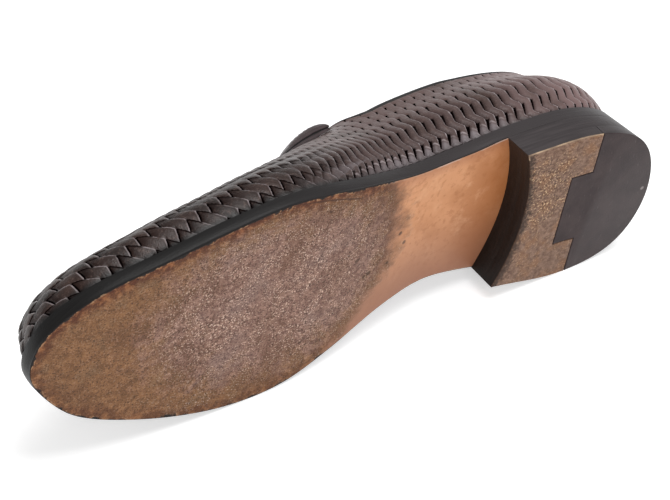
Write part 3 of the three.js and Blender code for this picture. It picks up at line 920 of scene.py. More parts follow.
def weave_place(grid, shares):
    """Place of each grid point on the weave: pitches towards the heel and rows down the outer side.

    Ahead of the throat the weave lies over the ridge like a draped sheet. Behind it the rows follow the
    feather edge round the heel. The last row repeats the heel line as the inner side reaches it.
    """
    rear_wall = WEAVE_ROW * (REAR_ROWS + rear_rows(0)) + WEAVE_SHIFT
    station = np.arange(2 * UPPER_STATIONS + 1)
    wrapped = station % (2 * UPPER_STATIONS)
    outer_side = (station <= UPPER_STATIONS)[:, None]
    x = grid["x"][wrapped]
    vamp = smoothstep(REAR_X, VAMP_X, x)[:, None]
    length = grid["length"][wrapped][:, None]
    climbed = shares * length
    outward = grid["outward"][wrapped]
    down = rear_wall + (length - rear_wall) * smoothstep(THROAT_X, FULL_WALL_X, x)[:, None] - climbed
    draped_along = x[:, None] + outward[:, :1] * down
    draped_row = (last_value("mid", x)[:, None] + outward[:, 1:] * down - WEAVE_SHIFT) / WEAVE_ROW
    run = feather_run(station)
    fall = REAR_ROWS + rear_rows(rear_height(climbed, run))
    rear_row = np.where(outer_side, fall, MIRROR_ROW - fall)
    row = rear_row + (draped_row - rear_row) * vamp
    rear_along = VAMP_X + (run - feather_run_at(VAMP_X, station)) * WEAVE_PITCH / REAR_PITCH
    along = rear_along + (draped_along - rear_along) * vamp
    lean = WEAVE_LEAN * vamp * (row - np.where(outer_side, LEAN_ROW, -LEAN_ROW))
    return np.stack([(rear_along[0] - along - lean) / WEAVE_PITCH, row], -1)


def rear_strips(grid, place, climbed):
    """Rear strips, which run down the wall and sway round the slits: their number, rows down, slit sizes."""
    station = np.arange(2 * UPPER_STATIONS)
    height = rear_height(climbed, feather_run(station))
    knots = column(REAR_SLITS, REAR_COLUMNS, "height")
    slits = {}
    for name in REAR_COLUMNS[1:]:
        slits[name] = np.interp(height, knots, column(REAR_SLITS, REAR_COLUMNS, name))
    slits["wide"] *= HEEL_SLIT + (1 - HEEL_SLIT) * smoothstep(*HEEL_SLIT_X, grid["x"])[:, None]
    row = place[..., 1]
    fall = np.where((station <= UPPER_STATIONS)[:, None], row, MIRROR_ROW - row)
    v = fraction(fall)
    turn = np.minimum(v / slits["long"], 1) + np.maximum(v - slits["long"], 0) / (1 - slits["long"])
    round_bend = np.sin(np.pi * turn / 2) ** 2
    bend = SWAY_SHARP * (1 - np.abs(turn - 1)) + (1 - SWAY_SHARP) * round_bend
    traits = {"slit_" + name: slits[name] for name in ("long", "wide", "head", "tail")}
    return {"strand": place[..., 0] + slits["sway"] * bend, "fall": fall, **traits}


def weave_traits(grid, shares, place):
    """What the finish and the relief have to know at each point of the weave."""
    x = grid["x"][:, None]
    climbed = shares * grid["length"][:, None]
    vamp = np.repeat(smoothstep(*VAMP_BLEND_X, x), len(shares), 1)
    heel = HEEL_SNUG * (1 - smoothstep(*HEEL_SNUG_X, x))
    snug = np.maximum(smoothstep(*SNUG_CLIMB, climbed), heel) * (1 - vamp)
    return {"snug": snug, "vamp": vamp, "climbed": climbed, **rear_strips(grid, place, climbed)}


# Pattern of the weave, for its relief and for its finish
def vamp_strips(pitch, row):
    """The vamp weave at a place: lane, share across it, strips along it, and how far inside a slit."""
    strip = row * 2.0 - pitch
    lane = whole(strip)
    across = strip - lane
    run = (pitch - lane) * 0.5
    past = fraction(fraction(run) + SLIT_BEFORE / (2 * WEAVE_PITCH)) * (2 * WEAVE_PITCH)
    inside = (across * 4.0 * (1.0 - across)) ** SLIT_BLUNT * SLIT_VAMP - past
    return lane, across, run, inside


def upright_strips(trait):
    """The rear weave at a place: shares across a strip, down a row and down a slit, and how far inside it.

    The argument finds a trait of the place by its name.
    """
    u = fraction(trait("strand"))
    v = fraction(trait("fall"))
    t = v / trait("slit_long")
    taper = clipped(t / trait("slit_head")) * clipped(1.0 - t) ** trait("slit_tail")
    return u, v, t, taper * trait("slit_wide") - u * REAR_PITCH


# Relief of the weave
def cut_slits(height, inside, deep):
    """Height of the strips with slits cut into them."""
    return height - clipped(inside / SLIT_SOFT + 0.5) * (height + deep)


def rear_relief(traits):
    """Height of the rear strips: tucked under on the toe side, lifted on the heel side, open at the slits."""
    snug = traits["snug"]
    u, _, _, inside = upright_strips(traits.get)
    climb = WEAVE_TUCK + (1 - WEAVE_TUCK) * smoothstep(0, REAR_CLIMB, u)
    drop = 1 - REAR_DROP * smoothstep(REAR_DROP_FROM, 1, u)
    height = WEAVE_RISE * climb * drop * (1 - SNUG_FLAT * snug)
    return cut_slits(height, inside, SLIT_DEEP * (1 - SNUG_SHALLOW * snug))


def vamp_relief(place):
    """Height of the vamp strips: tucked under at the start, lifted over the next at the end."""
    _, across, run, inside = vamp_strips(place[..., 0], place[..., 1])
    along = fraction(run)
    climb = WEAVE_TUCK + (1 - WEAVE_TUCK) * smoothstep(*VAMP_CLIMB, along)
    crown = 1 - VAMP_CROWN * np.abs(2 * across - 1) ** VAMP_CROWN_POWER
    drop = 1 - VAMP_DROP * smoothstep(VAMP_DROP_FROM, 1, along)
    return cut_slits(VAMP_RISE * climb * crown * drop, inside, SLIT_DEEP)


def under_strap(grid, down):
    """Where the strap presses the weave flat: 1 under it, 0 away from it."""
    reach = np.where(np.arange(len(down)) <= UPPER_STATIONS, STRAP_LATERAL, STRAP_MEDIAL)[:, None]
    x = grid["x"][:, None]
    ahead = smoothstep(STRAP_FRONT_X + STRAP_PRESS_FADE, STRAP_FRONT_X, x)
    behind = smoothstep(STRAP_BACK_X - STRAP_PRESS_FADE, STRAP_BACK_X, x)
    beside = smoothstep(reach + STRAP_PRESS_FADE, reach, down)
    return ahead * behind * beside * ~grid["open"][:, None]


def weave_relief(grid, place, traits):
    """Height of the strips over the last, pressed flat under the strap and even at the collar."""
    relief = rear_relief(traits)
    relief += (vamp_relief(place) - relief) * traits["vamp"]
    down = grid["length"][:, None] - traits["climbed"]
    relief *= 1 - STRAP_PRESS * under_strap(grid, down)
    hem = np.where(grid["open"][:, None], smoothstep(0, HEM_WIDE, down), 1.0)
    return HEM_RISE * (1 - hem) + relief * hem


# Finish of the weave
def vamp_pattern(finish):
    """Masks of the vamp weave: slit, dark seam with painted shadow where the strip above lies over it, lit
    edge, shade at the tucked start, one number a strip.
    """
    pitch, row, _ = finish.parts(finish.value("UVMap", {}, uv_map="weave"))
    lane, across, run, inside = vamp_strips(pitch, row)
    along = fraction(run)
    slit = inside.smooth(*SLIT_MASK)
    tucked = along.smooth(*VAMP_TUCKED)
    top_line = across.smooth(*VAMP_TOP_LINE)
    rim = top_line * (1.0 - tucked)
    tip = along.smooth(*VAMP_TIP) * (1.0 - slit)
    return {
        "slit": slit,
        "seam": top_line * tucked,
        "edge": rim.at_least(tip) * VAMP_EDGE,
        "shade": along.smooth(*VAMP_SHADE),
        "chance": finish.chance(whole(run), lane),
    }


def rear_pattern(finish, x, snug, climbed):
    """Masks of the rear weave: rows of slits, thin seams with painted shadow, lit heel-side edges, a painted
    sheen on the lowest ends.
    """
    u, v, t, inside = upright_strips(finish.amount)
    slit = inside.smooth(*SLIT_MASK)
    loose = 1.0 - snug * SNUG_FLAT
    bend = ((v - REAR_BEND_AT) * (2 * math.pi)).cosine() * 0.5 + 0.5
    rim = u.smooth(*REAR_RIM) * (bend * (1 - REAR_RIM_LEAST) + REAR_RIM_LEAST)
    over = t - (u * REAR_END_LEAN + REAR_END_AT)
    closed = climbed.smooth(*REAR_LOWEST) * x.smooth(*REAR_LOWEST_X) * (1.0 - slit)
    lip = abs(over).smooth(*REAR_LIP) * closed
    chance = finish.chance(whole(finish.amount("strand")), whole(finish.amount("fall")))
    uneven = chance * (1 - REAR_SHEEN_LEAST) + REAR_SHEEN_LEAST
    return {
        "slit": slit,
        "seam": (u * REAR_PITCH).smooth(*REAR_SEAM_SHADOW) * t.smooth(*REAR_SEAM_SHADOW_BELOW) * loose,
        "edge": (rim * loose).at_least(lip * REAR_LIP_SHARE),
        "shade": u.smooth(*REAR_SHADE) * loose,
        "chance": chance,
        # Painted sheen on the lowest ends, uneven from strip to strip
        "pale": over.smooth(*REAR_END_SHEEN) * closed * uneven,
    }


def woven_finish():
    """Dyed strips with slits in painted shade, dark seams with painted shadow, painted shade near the sole, a
    painted sheen on the lowest rear ends, and lighter edges where they are lifted, partly wear and partly
    painted highlight.
    """
    finish = Finish("woven_leather", 0.4)
    place = finish.place()
    x, _, _ = finish.parts(place)
    snug, vamp, climbed = finish.amount("snug"), finish.amount("vamp"), finish.amount("climbed")
    rear = 1.0 - vamp
    behind = rear_pattern(finish, x, snug, climbed)
    mask = {}
    for name, front in vamp_pattern(finish).items():
        mask[name] = (front - behind[name]) * vamp + behind[name]
    foot_shade_strength = vamp * WOVEN_FOOT_SHADE_VAMP + WOVEN_FOOT_SHADE_REAR
    strips = finish.mix(mask["chance"], *STRIP_TONES)
    finish.colour(finish.layered(strips, WOVEN_LAYERS, {
        **mask,
        "rear": rear,
        "snug": snug,
        "heel": x,
        "cloud": finish.noise(place, 18, 3),
        "scuffed": finish.noise(place, 1.3, 3, 0.7),
        "pale": behind["pale"] * rear,
        # Wear and painted highlight on the lit edges, in patches
        "worn": mask["edge"] * finish.noise(place, 4).smooth(*WOVEN_WEAR_AND_HIGHLIGHT),
        # Painted shade at the foot of the wall
        "foot": climbed.smooth(*WOVEN_FOOT_SHADE) * foot_shade_strength,
    }))
    open_air = 1.0 - mask["slit"].at_least(mask["seam"])
    finish.set("Specular IOR Level", (mask["shade"] * -0.3 + 0.44) * open_air)
    finish.set("Roughness", finish.noise(place, 3, 3) * 0.25 + 0.3)
    grain = finish.cells(place, 0.6) + finish.noise(place, 1.6, 3)
    finish.bump(grain - mask["seam"] * 2.5, 0.12)
    return finish.material


# Woven upper
def shared_vertices(grid, outside, inside):
    """One point list for both walls. The two sides share the vertices of the ridge."""
    outer_ids = numbered(outside)
    inner_ids = numbered(inside, outer_ids.size)
    second = (np.arange(len(outside)) > grid["mate"]) & ~grid["open"]
    for ids in (outer_ids, inner_ids):
        ids[second, -1] = ids[grid["mate"][second], -1]
    points = np.concatenate([outside.reshape(-1, 3), inside.reshape(-1, 3)])
    used = np.unique(np.concatenate([outer_ids.ravel(), inner_ids.ravel()]))
    number = np.zeros(len(points), int)
    number[used] = np.arange(len(used))
    return points[used], number[outer_ids], number[inner_ids]


def wall_faces(ids):
    """Quads of a closed run of wall lines."""
    return sheet_faces(np.concatenate([ids, ids[:1]]))


def rim_faces(opened, outer_ids, inner_ids):
    """Quads that close the wall along the feather edge and along the collar."""
    foot = band_faces([inner_ids[:, 0], outer_ids[:, 0]])
    top = band_faces([outer_ids[:, -1], inner_ids[:, -1]])
    return np.concatenate([foot, top[opened | np.roll(opened, -1)]])


def weave_map(mesh, place):
    layer = mesh.uv_layers.new(name="weave")
    values = np.zeros((len(mesh.loops), 2), np.float32)
    outer = cell_corners(place).reshape(-1, 2)
    values[:len(outer)] = outer
    layer.data.foreach_set("uv", values.ravel())


def woven_upper(lining):
    shares = np.linspace(0, 1, UPPER_LEVELS + 1)
    grid = last_grid(UPPER_STATIONS, shares)
    place = weave_place(grid, shares)
    traits = weave_traits(grid, shares, place[:-1])
    outside = offset_grid(grid, weave_relief(grid, place[:-1], traits))
    back = last_grid(UPPER_STATIONS, np.linspace(0, 1, LINING_LEVELS + 1))
    inside = offset_grid(back, np.full(back["points"].shape[:2], -WALL))
    points, outer_ids, inner_ids = shared_vertices(grid, outside, inside)
    rims = rim_faces(grid["open"], outer_ids, inner_ids)
    groups = (wall_faces(outer_ids), wall_faces(inner_ids)[:, ::-1], rims)
    faces = np.concatenate(groups)
    kinds = np.repeat((0, 1, 0), [len(group) for group in groups])
    finishes = [woven_finish(), lining]
    piece = make_piece("woven_upper", points, faces, finishes, "upper", kinds, WOVEN_SHARP)
    weave_map(piece.data, place)
    for name, values in traits.items():
        flat = np.zeros(len(points))
        flat[outer_ids] = values
        add_attribute(piece.data, name, flat)


# Binding round the collar
def collar_order(opened):
    count = len(opened)
    front = int(np.argmin(opened))
    return np.concatenate([np.arange(front, 0, -1), np.arange(count, count - front, -1) % count])


def circle(sides):
    """Cosines and sines round a ring, as columns."""
    angle = 2 * math.pi * np.arange(sides) / sides
    return np.cos(angle)[:, None], np.sin(angle)[:, None]


def collar_binding():
    grid = last_grid(BINDING_STATIONS, BINDING_SHARES)
    order = collar_order(grid["open"])
    top = grid["points"][order, -1]
    along = neighbours(top)
    out = grid_normals(grid)[order, 1]
    out[0] = (0, 0, 1)
    lifted = unit(np.cross(out, along))
    facing = unit(np.cross(along, lifted))
    middle = top + BINDING_LIFT * lifted - BINDING_INWARD * facing
    cosine, sine = circle(BINDING_SIDES)
    wide = BINDING_WIDE * cosine * facing[:, None]
    high = BINDING_HIGH * sine * lifted[:, None]
    rings = middle[:, None] + wide + high
    ids = numbered(rings)
    faces = band_faces([*ids, ids[0]])
    finish = smooth_leather("binding_leather", BINDING_TONES, 0.55)
    make_piece("collar_roll", rings.reshape(-1, 3), faces, [finish], "collar_binding")


# Strap over the instep
def strap_line(x, places):
    """Points across the instep, at lengths from the ridge: positive to the outer side."""
    found = {}
    for side in (1, -1):
        angle = np.arccos(1 - 2 * x / SOLE_LENGTH)
        wide = smooth_through(SOLE_ANGLE, SIDE_WIDTH[side], angle)
        foot = np.array([[x, wide - np.sign(wide) * FEATHER_INSET]])
        lines, _ = wall_lines(foot, np.array([x]), np.array([side > 0]))
        line = lines[0][::-1]
        found[side] = read_along(run_of(line), line, np.abs(places))
    return np.where(places[:, None] >= 0, found[1], found[-1])


def strap_surface():
    """Bare surface under the strap and its normals."""
    places = STRAP_LATERAL - (STRAP_LATERAL + STRAP_MEDIAL) * np.linspace(0, 1, STRAP_ACROSS + 1)
    stations = np.linspace(STRAP_BACK_X, STRAP_FRONT_X, STRAP_ALONG + 1)
    bare = np.stack([strap_line(x, places) for x in stations])
    ahead = np.gradient(bare, axis=0)
    over = np.gradient(bare, axis=1)
    return bare, unit(np.cross(over, ahead))


def strap_thickness():
    """Thickness of the strap: rounded at the edges, swollen along the middle, with a channel for stitches."""
    i = np.linspace(0, STRAP_FRONT_X - STRAP_BACK_X, STRAP_ALONG + 1)[:, None]
    k = np.linspace(0, STRAP_LATERAL + STRAP_MEDIAL, STRAP_ACROSS + 1)[None, :]
    inset = np.minimum(np.minimum(i, i[-1] - i), np.minimum(k, k[:, -1:] - k))
    crown = np.sqrt(np.clip(1 - (1 - np.clip(inset / STRAP_ROUND, 0, 1)) ** 2, 0, 1))
    channel = CHANNEL_DEEP * np.exp(-(((inset - STITCH_INSET) / CHANNEL_WIDE) ** 2))
    swell = 1 + STRAP_SWELL * np.sin(math.pi * np.clip(i / i[-1], 0, 1) ** STRAP_SWELL_BACK)
    return STRAP_THICK * (STRAP_RIM + (1 - STRAP_RIM) * crown) * swell - channel


def border(sheet):
    """Ring of the border entries of a sheet."""
    return np.concatenate([sheet[0, :-1], sheet[:-1, -1], sheet[-1, :0:-1], sheet[:0:-1, 0]])


def strap_seam(edge, normal, thick):
    """Rings down the edge of the strap, pinched in halfway."""
    inward = unit(np.cross(neighbours(edge), normal))
    inward *= np.sign(np.sum(inward * (edge.mean(0) - edge), axis=1)).mean() or 1
    rings = []
    for share, pinch in STRAP_RINGS:
        rings.append(edge + normal * (STRAP_LIFT + thick * share) + inward * pinch)
    return np.stack(rings)


def instep_strap():
    """Strap of two layers: a rounded upper face, and a seam round the edge between the layers."""
    bare, normal = strap_surface()
    thick = strap_thickness()[..., None]
    high = bare + normal * (STRAP_LIFT + thick)
    low = bare + normal * STRAP_LIFT
    seam = strap_seam(border(bare), border(normal), border(thick))
    points = np.concatenate([high.reshape(-1, 3), low.reshape(-1, 3), seam.reshape(-1, 3)])
    high_ids = numbered(high)
    low_ids = numbered(low, high_ids.size)
    bands = band_faces([border(high_ids), *numbered(seam, 2 * high_ids.size), border(low_ids)])
    sheets = np.concatenate([sheet_faces(high_ids), sheet_faces(low_ids)[:, ::-1]])
    kinds = [0] * len(sheets) + np.repeat(STRAP_BAND_KINDS, seam.shape[1]).tolist()
    finishes = [
        smooth_leather("strap_leather", STRAP_TONES, 0.34),
        smooth_leather("strap_seam", SEAM_TONES, 0.7),
    ]
    faces = np.concatenate([sheets, bands])
    make_piece("instep_strap", points, faces, finishes, "throat_strap", kinds)
    strap_stitches(high, normal)


def read_grid(grid, place):
    """A grid read at a place between its rows and columns."""
    i = int(min(place[0], grid.shape[0] - 2))
    k = int(min(place[1], grid.shape[1] - 2))
    s, t = place[0] - i, place[1] - k
    low = grid[i, k] * (1 - t) + grid[i, k + 1] * t
    high = grid[i + 1, k] * (1 - t) + grid[i + 1, k + 1] * t
    return low * (1 - s) + high * s


def strap_stitches(high, normal):
    """Stitches in the channel near the edge of the strap."""
    rows, cols = high.shape[:2]
    a = STITCH_INSET / (STRAP_FRONT_X - STRAP_BACK_X) * (rows - 1)
    b = STITCH_INSET / (STRAP_LATERAL + STRAP_MEDIAL) * (cols - 1)
    far_a, far_b = rows - 1 - a, cols - 1 - b
    corners = np.array(((a, b), (a, far_b), (far_a, far_b), (far_a, b), (a, b)))
    stitches = []
    for start, stop in zip(corners[:-1], corners[1:]):
        places = np.linspace(start, stop, STITCH_LINE_STEPS)
        line = np.array([read_grid(high, place) for place in places])
        lift = np.array([read_grid(normal, place) for place in places])
        for middle in np.arange(STITCH_STEP / 2, run_of(line)[-1], STITCH_STEP):
            stitches.append(stitch_rings(line, lift, middle))
    rings = np.stack(stitches)
    faces = np.concatenate([stitch_faces(ids) for ids in numbered(rings)])
    finish = smooth_leather("thread", THREAD_TONES, 0.6)
    make_piece("strap_stitching", rings.reshape(-1, 3), faces, [finish], None)


def stitch_rings(line, lift, middle):
    """Rings along one stitch, thin at both ends."""
    run = run_of(line)
    ends = np.clip(middle + STITCH_LONG * np.array((-0.5, 0.5)), 0, run[-1])
    start, stop = read_along(run, line, ends)
    up = read_along(run, lift, middle)
    side = np.cross(unit(stop - start), up)
    cosine, sine = circle(STITCH_SIDES)
    rings = []
    for t in np.linspace(0, 1, STITCH_SIDES):
        radius = STITCH_THICK * math.sin(math.pi * (STITCH_TAPER + (1 - 2 * STITCH_TAPER) * t))
        centre = start + (stop - start) * t + up * (radius * STITCH_RISE)
        rings.append(centre + radius * (cosine * side + sine * up))
    return np.stack(rings)


def stitch_faces(ids):
    first, last = ids[0], ids[-1]
    caps = [first[[0, 3, 2, 1]], first[[0, 5, 4, 3]], last[[0, 1, 2, 3]], last[[0, 3, 4, 5]]]
    return np.concatenate([band_faces(ids[::-1]), caps])


# Finish of the sole
def sole_values(finish):
    """Places and noises that the layers of the sole share."""
    place = finish.place()
    x, y, _ = finish.parts(place)
    return {
        "x": x,
        "y": y,
        "rim": finish.amount("rim"),
        "cloud": finish.noise(place, 24, 3, 0.55),
        "blot": finish.noise(place, 10, 4, 0.65),
        "patch": finish.noise(place, 3.2, 3, 0.65),
        "grit": finish.noise(place, 0.7, 1, 0.6),
        "dust": finish.noise(place, 0.75, 1, 0.6),
        "streak": finish.noise(finish.stretched(place, (0.35, 1.0, 1.0)), 3.5, 3),
    }


def past_waist(values):
    """Ragged distance ahead of the bent line where the worn forefoot begins."""
    bent = abs(values["y"] - WORN_MIDDLE_Y) ** 2.0
    past = values["x"] - (bent * WORN_BEND + WORN_FROM_X)
    for name, reach in WORN_RAGGED.items():
        past = (values[name] - 0.5) * reach + past
    return past


def waist_colour(finish, values, past):
    """Polished waist: warm and smooth, more orange at the heel breast, darker at the sides."""
    stain = past.smooth(*STAIN_SPAN) * values["streak"]
    waist = finish.ground(values["cloud"], *WAIST_GROUND)
    return finish.layered(waist, WAIST_LAYERS, {**values, "stain": stain})


def tread_middle(values):
    """The greyest part of the forefoot, ragged at its border."""
    along = (values["x"] - TREAD_MIDDLE[0]) / TREAD_REACH[0]
    across = (values["y"] - TREAD_MIDDLE[1]) / TREAD_REACH[1]
    far = across * across + along * along + (values["blot"] - 0.5) * TREAD_RAGGED
    return far.smooth(*MIDDLE_SPAN)


def tread_colour(finish, values, past):
    """Worn forefoot: yellowish at the toe, purple-grey and gritty in the middle, rusty along the rim."""
    x, y, blot, patch, dust = (values[name] for name in ("x", "y", "blot", "patch", "dust"))
    middle = tread_middle(values)
    tan = finish.layered(finish.ground(patch, *TAN_GROUND), TAN_LAYERS, values)
    grey = finish.layered(finish.ground(patch, *GREY_GROUND), GREY_LAYERS, values)
    pale = middle * blot.smooth(0.34, 0.62) * (1 - DUST_PALE_LEAST) + DUST_PALE_LEAST
    dark = middle * DUST_DARK_MORE + DUST_DARK_LEAST
    dusty = blot.smooth(0.42, 0.64) * values["grit"].smooth(0.6, 0.72)
    tread = finish.layered(finish.mix(middle, tan, grey), TREAD_LAYERS, {
        **values,
        "pale_dust": dust.smooth(*DUST_PALE) * pale,
        "dark_dust": dust.smooth(*DUST_DARK) * dark,
        "dusty": dusty * x.smooth(*DUSTY_X),
    })
    fray = (patch - 0.5) * RUST_RAGGED + values["rim"]
    fray = (blot - 0.5) * RUST_RAGGED + fray
    outer = y.smooth(*RUST_Y) * RUST_OUTER + RUST_LEAST
    tread = finish.mix(fray.smooth(*RUST_SPAN) * outer, tread, finish.ground(patch, *RUST_GROUND))
    band = y.smooth(*BAND_Y)
    for span in BAND_SPANS:
        band = band * past.smooth(*span)
    return finish.layered(tread, BAND_LAYERS, {"band": band})


def rim_masks(values, worn):
    """Masks along the rim: end of the stitch channel, smeared edge ink, its pale lip, partly pale leather and
    partly painted highlight specks, and a painted highlight line where the waist's rim catches light.
    """
    x, y, rim, blot, patch = (values[name] for name in ("x", "y", "rim", "blot", "patch"))
    channel = y.smooth(*CHANNEL_Y) * abs(rim - (x * CHANNEL_SLOPE + CHANNEL_DEPTH)).smooth(*CHANNEL_LINE)
    for span in CHANNEL_STRETCH:
        channel = channel * x.smooth(*span)
    smear = blot.smooth(0.46, 0.66) * worn
    ragged = (patch - 0.5) * worn * INK_RAGGED + rim
    over = ragged - (smear * INK_SMEAR + INK_WIDE)
    ragged_ink = over.smooth(*INK_EDGE)
    inked = ragged_ink.at_least(rim.smooth(*INK_LEAST)).at_least(x.smooth(*INK_HEEL_X))
    # Painted highlight along the rim of the waist, kept off the worn forefoot
    thread = abs(rim - RIM_HIGHLIGHT_AT).smooth(*RIM_LINE) * blot.smooth(0.4, 0.6) * y.smooth(*RIM_HIGHLIGHT_Y)
    return {
        "channel": channel,
        "inked": inked,
        # Pale lip: partly pale leather, partly painted highlight specks
        "lip": abs(over - LIP_AT).smooth(*RIM_LINE) * patch.smooth(0.45, 0.6),
        "thread": thread * (1.0 - worn),
    }


def sole_finish():
    """Worn forefoot, polished waist and a ragged rim where the edge ink ends."""
    finish = Finish("sole_leather", 0.6, specular=0.22)
    values = sole_values(finish)
    past = past_waist(values)
    worn = past.smooth(*WORN_SPAN)
    skin = finish.mix(worn, waist_colour(finish, values, past), tread_colour(finish, values, past))
    for centre, radius in SOLE_SCARS:
        scar = finish.spot(values["x"], values["y"], centre, radius)
        skin = finish.layered(skin, SCAR_LAYERS, {"scar": scar})
    finish.colour(finish.layered(skin, RIM_LAYERS, rim_masks(values, worn)))
    finish.set("Roughness", worn * 0.3 + 0.48)
    height = (values["grit"] * 1.2 + values["patch"] * 0.4) * worn
    finish.bump(values["patch"] * 0.15 + height, 0.35)
    return finish.material


# Outsole
def flare_share(height):
    """Share of the heel's full flare at a height above its tread. The edge of the sole starts it."""
    return 1 - (1 - FLARE_START) * height / (SOLE_EDGE + HEEL_SEAT_Z)


def heel_flare(line, share):
    """A line round the heel moved out to a share of the full flare. Ahead of the heel it stays."""
    back = np.maximum(0, 1 - line[:, 0] / HEEL_BREAST_X)
    beside = 1 - smoothstep(HEEL_BREAST_X, HEEL_BREAST_X + FLARE_FADE, line[:, 0])
    wide = np.where(line[:, 1] > 0, HEEL_FLARE_LATERAL, HEEL_TUCK_MEDIAL)
    grow = np.sin(np.minimum(1, np.abs(line[:, 1]) / HEEL_FLARE_FULL) * math.pi / 2) * beside
    return line + np.stack([-HEEL_FLARE_BACK * back, wide * grow], -1) * share


def sole_rings():
    """Rings from the underside over the bevel and up the rounded edge."""
    loop = plan_loop(SOLE_STATIONS)
    x = loop[:, :1]
    ahead_of_heel = smoothstep(HEEL_BREAST_X - HEEL_BREAST_FADE, HEEL_BREAST_X + HEEL_BREAST_FADE, x)
    bevel = SOLE_BEVEL * (SEAT_BEVEL_SHARE + (1 - SEAT_BEVEL_SHARE) * ahead_of_heel)
    rounded = EDGE_ROUND * ahead_of_heel
    base = sole_bottom(x)
    rings = []
    for share in np.linspace(0, 1, BEVEL_RINGS + 1):
        turn = share * math.pi / 2
        inset = bevel * (1 - math.sin(turn)) + rounded * share**2
        plan = heel_flare(inset_loop(loop, inset), flare_share(HEEL_SEAT_Z))
        rings.append(np.concatenate([plan, base + bevel * (1 - math.cos(turn))], -1))
    for share in np.linspace(0, 1, EDGE_RINGS + 1)[1:]:
        inset = rounded * (2 * share - 1) ** 2
        plan = heel_flare(inset_loop(loop, inset), flare_share(HEEL_SEAT_Z + SOLE_EDGE * share))
        rings.append(np.concatenate([plan, base + bevel + (SOLE_EDGE - bevel) * share], -1))
    return rings


def rim_distance(points):
    """Distance in plan from the lower outline of the sole."""
    outline = heel_flare(plan_loop(SOLE_STATIONS), flare_share(HEEL_SEAT_Z))
    gap = points[:, None, :2] - outline[None]
    return np.sqrt((gap**2).sum(-1).min(1))


def outsole():
    rings = sole_rings()
    under = across_points(rings[0], SOLE_ACROSS, sole_bottom)
    over = across_points(rings[-1], SOLE_TOP_ACROSS, sole_top)
    points, (bottom, bands, top) = plate(rings, under, over)
    faces = [*bottom, *bands, *top]
    worn_faces = len(bottom) + BEVEL_RINGS * len(rings[0])
    kinds = [0] * worn_faces + [1] * (len(faces) - worn_faces)
    finishes = [sole_finish(), edge_finish("sole_edge", EDGE_TONES, EDGE_HEEL_TONE)]
    piece = make_piece("sole_plate", points, faces, finishes, "outsole", kinds, SOLE_SHARP)
    add_attribute(piece.data, "rim", rim_distance(points))


# Heel
def heel_side(side, drop, from_x, to_x):
    """One side of the heel between two places along the foot, in equal steps."""
    line = side_points(side, OUTLINE_STEPS)
    line = heel_flare(line[line[:, 0] <= HEEL_BREAST_X], flare_share(HEEL_SEAT_Z * (1 - drop)))
    x, y = line.T
    inside = line[(x > from_x) & (x < to_x)]
    first = (max(from_x, x[0]), np.interp(max(from_x, x[0]), x, y))
    last = (min(to_x, x[-1]), np.interp(min(to_x, x[-1]), x, y))
    return evenly(np.concatenate([[first], inside, [last]]), np.linspace(0, 1, HEEL_STEPS + 1))


def heel_sides(drop, from_x, to_x):
    return heel_side(1, drop, from_x, to_x), heel_side(-1, drop, from_x, to_x)


def breast_curve(outer_corner, inner_corner):
    share = np.linspace(0, 1, BREAST_STEPS + 1)[1:-1, None]
    curve = outer_corner + (inner_corner - outer_corner) * share
    curve[:, 0] -= HEEL_BREAST_HOLLOW * 4 * (share * (1 - share))[:, 0]
    return curve


def split_tab(gap):
    near = LIFT_SPLIT_X + gap
    far = near + LIFT_TAB_REACH
    high, low = LIFT_TAB_LATERAL + gap, LIFT_TAB_MEDIAL - gap
    return np.array(((near, high), (far, high), (far, low), (near, low)))


def heel_plan(drop):
    outer, inner = heel_sides(drop, -HEEL_FLARE_BACK, HEEL_BREAST_X)
    return np.concatenate([outer, breast_curve(outer[-1], inner[-1]), inner[:0:-1]])


def rubber_plan(drop):
    outer, inner = heel_sides(drop, -HEEL_FLARE_BACK, LIFT_SPLIT_X)
    return np.concatenate([outer, split_tab(0), inner[:0:-1]])


def leather_plan(drop):
    outer, inner = heel_sides(drop, LIFT_SPLIT_X + SEAM_GAP, HEEL_BREAST_X)
    breast = breast_curve(outer[-1], inner[-1])
    return np.concatenate([outer, breast, inner[::-1], split_tab(SEAM_GAP)[::-1]])


def breast_faces(ring):
    """Which sides of a heel ring belong to the breast, the hollow front face."""
    ahead = np.roll(ring, -1, 0)
    step = np.abs(ahead - ring)
    back = np.minimum(ring[:, 0], ahead[:, 0])
    return (back > HEEL_BREAST_X - HEEL_BREAST_HOLLOW - BREAST_MARGIN) & (step[:, 1] > step[:, 0])


def heel_piece(name, plan, low, high, finishes, replaced):
    """A stack of plan loops between two heights, with a softened corner on the tread.

    Finishes are for the tread, the sides, the breast and, if given, the worn outer corner of the tread.
    """
    bevel = HEEL_BEVEL if low == 0 else HEEL_JOINT
    levels = [(low + bevel * up, bevel * inset) for up, inset in HEEL_CORNER]
    levels += [(high - HEEL_JOINT, 0), (high, 0)]
    rings = [raised(inset_loop(plan(1 - z / HEEL_SEAT_Z), inset), z) for z, inset in levels]
    size = len(rings[0])
    ids = numbered(np.stack(rings))
    faces = [ids[0].tolist(), *band_faces(ids).tolist(), ids[-1][::-1].tolist()]
    sides = np.tile(np.where(breast_faces(rings[len(HEEL_CORNER) - 1]), 2, 1), (len(rings) - 1, 1))
    if low == 0:
        sides[:len(HEEL_CORNER) - 1] = 0
    if len(finishes) > 3:
        sides[:len(HEEL_CORNER) - 1, :WORN_SIDES] = 3
    kinds = [0, *sides.ravel().tolist(), 1]
    make_piece(name, np.concatenate(rings), faces, finishes, replaced, kinds, HEEL_SHARP)


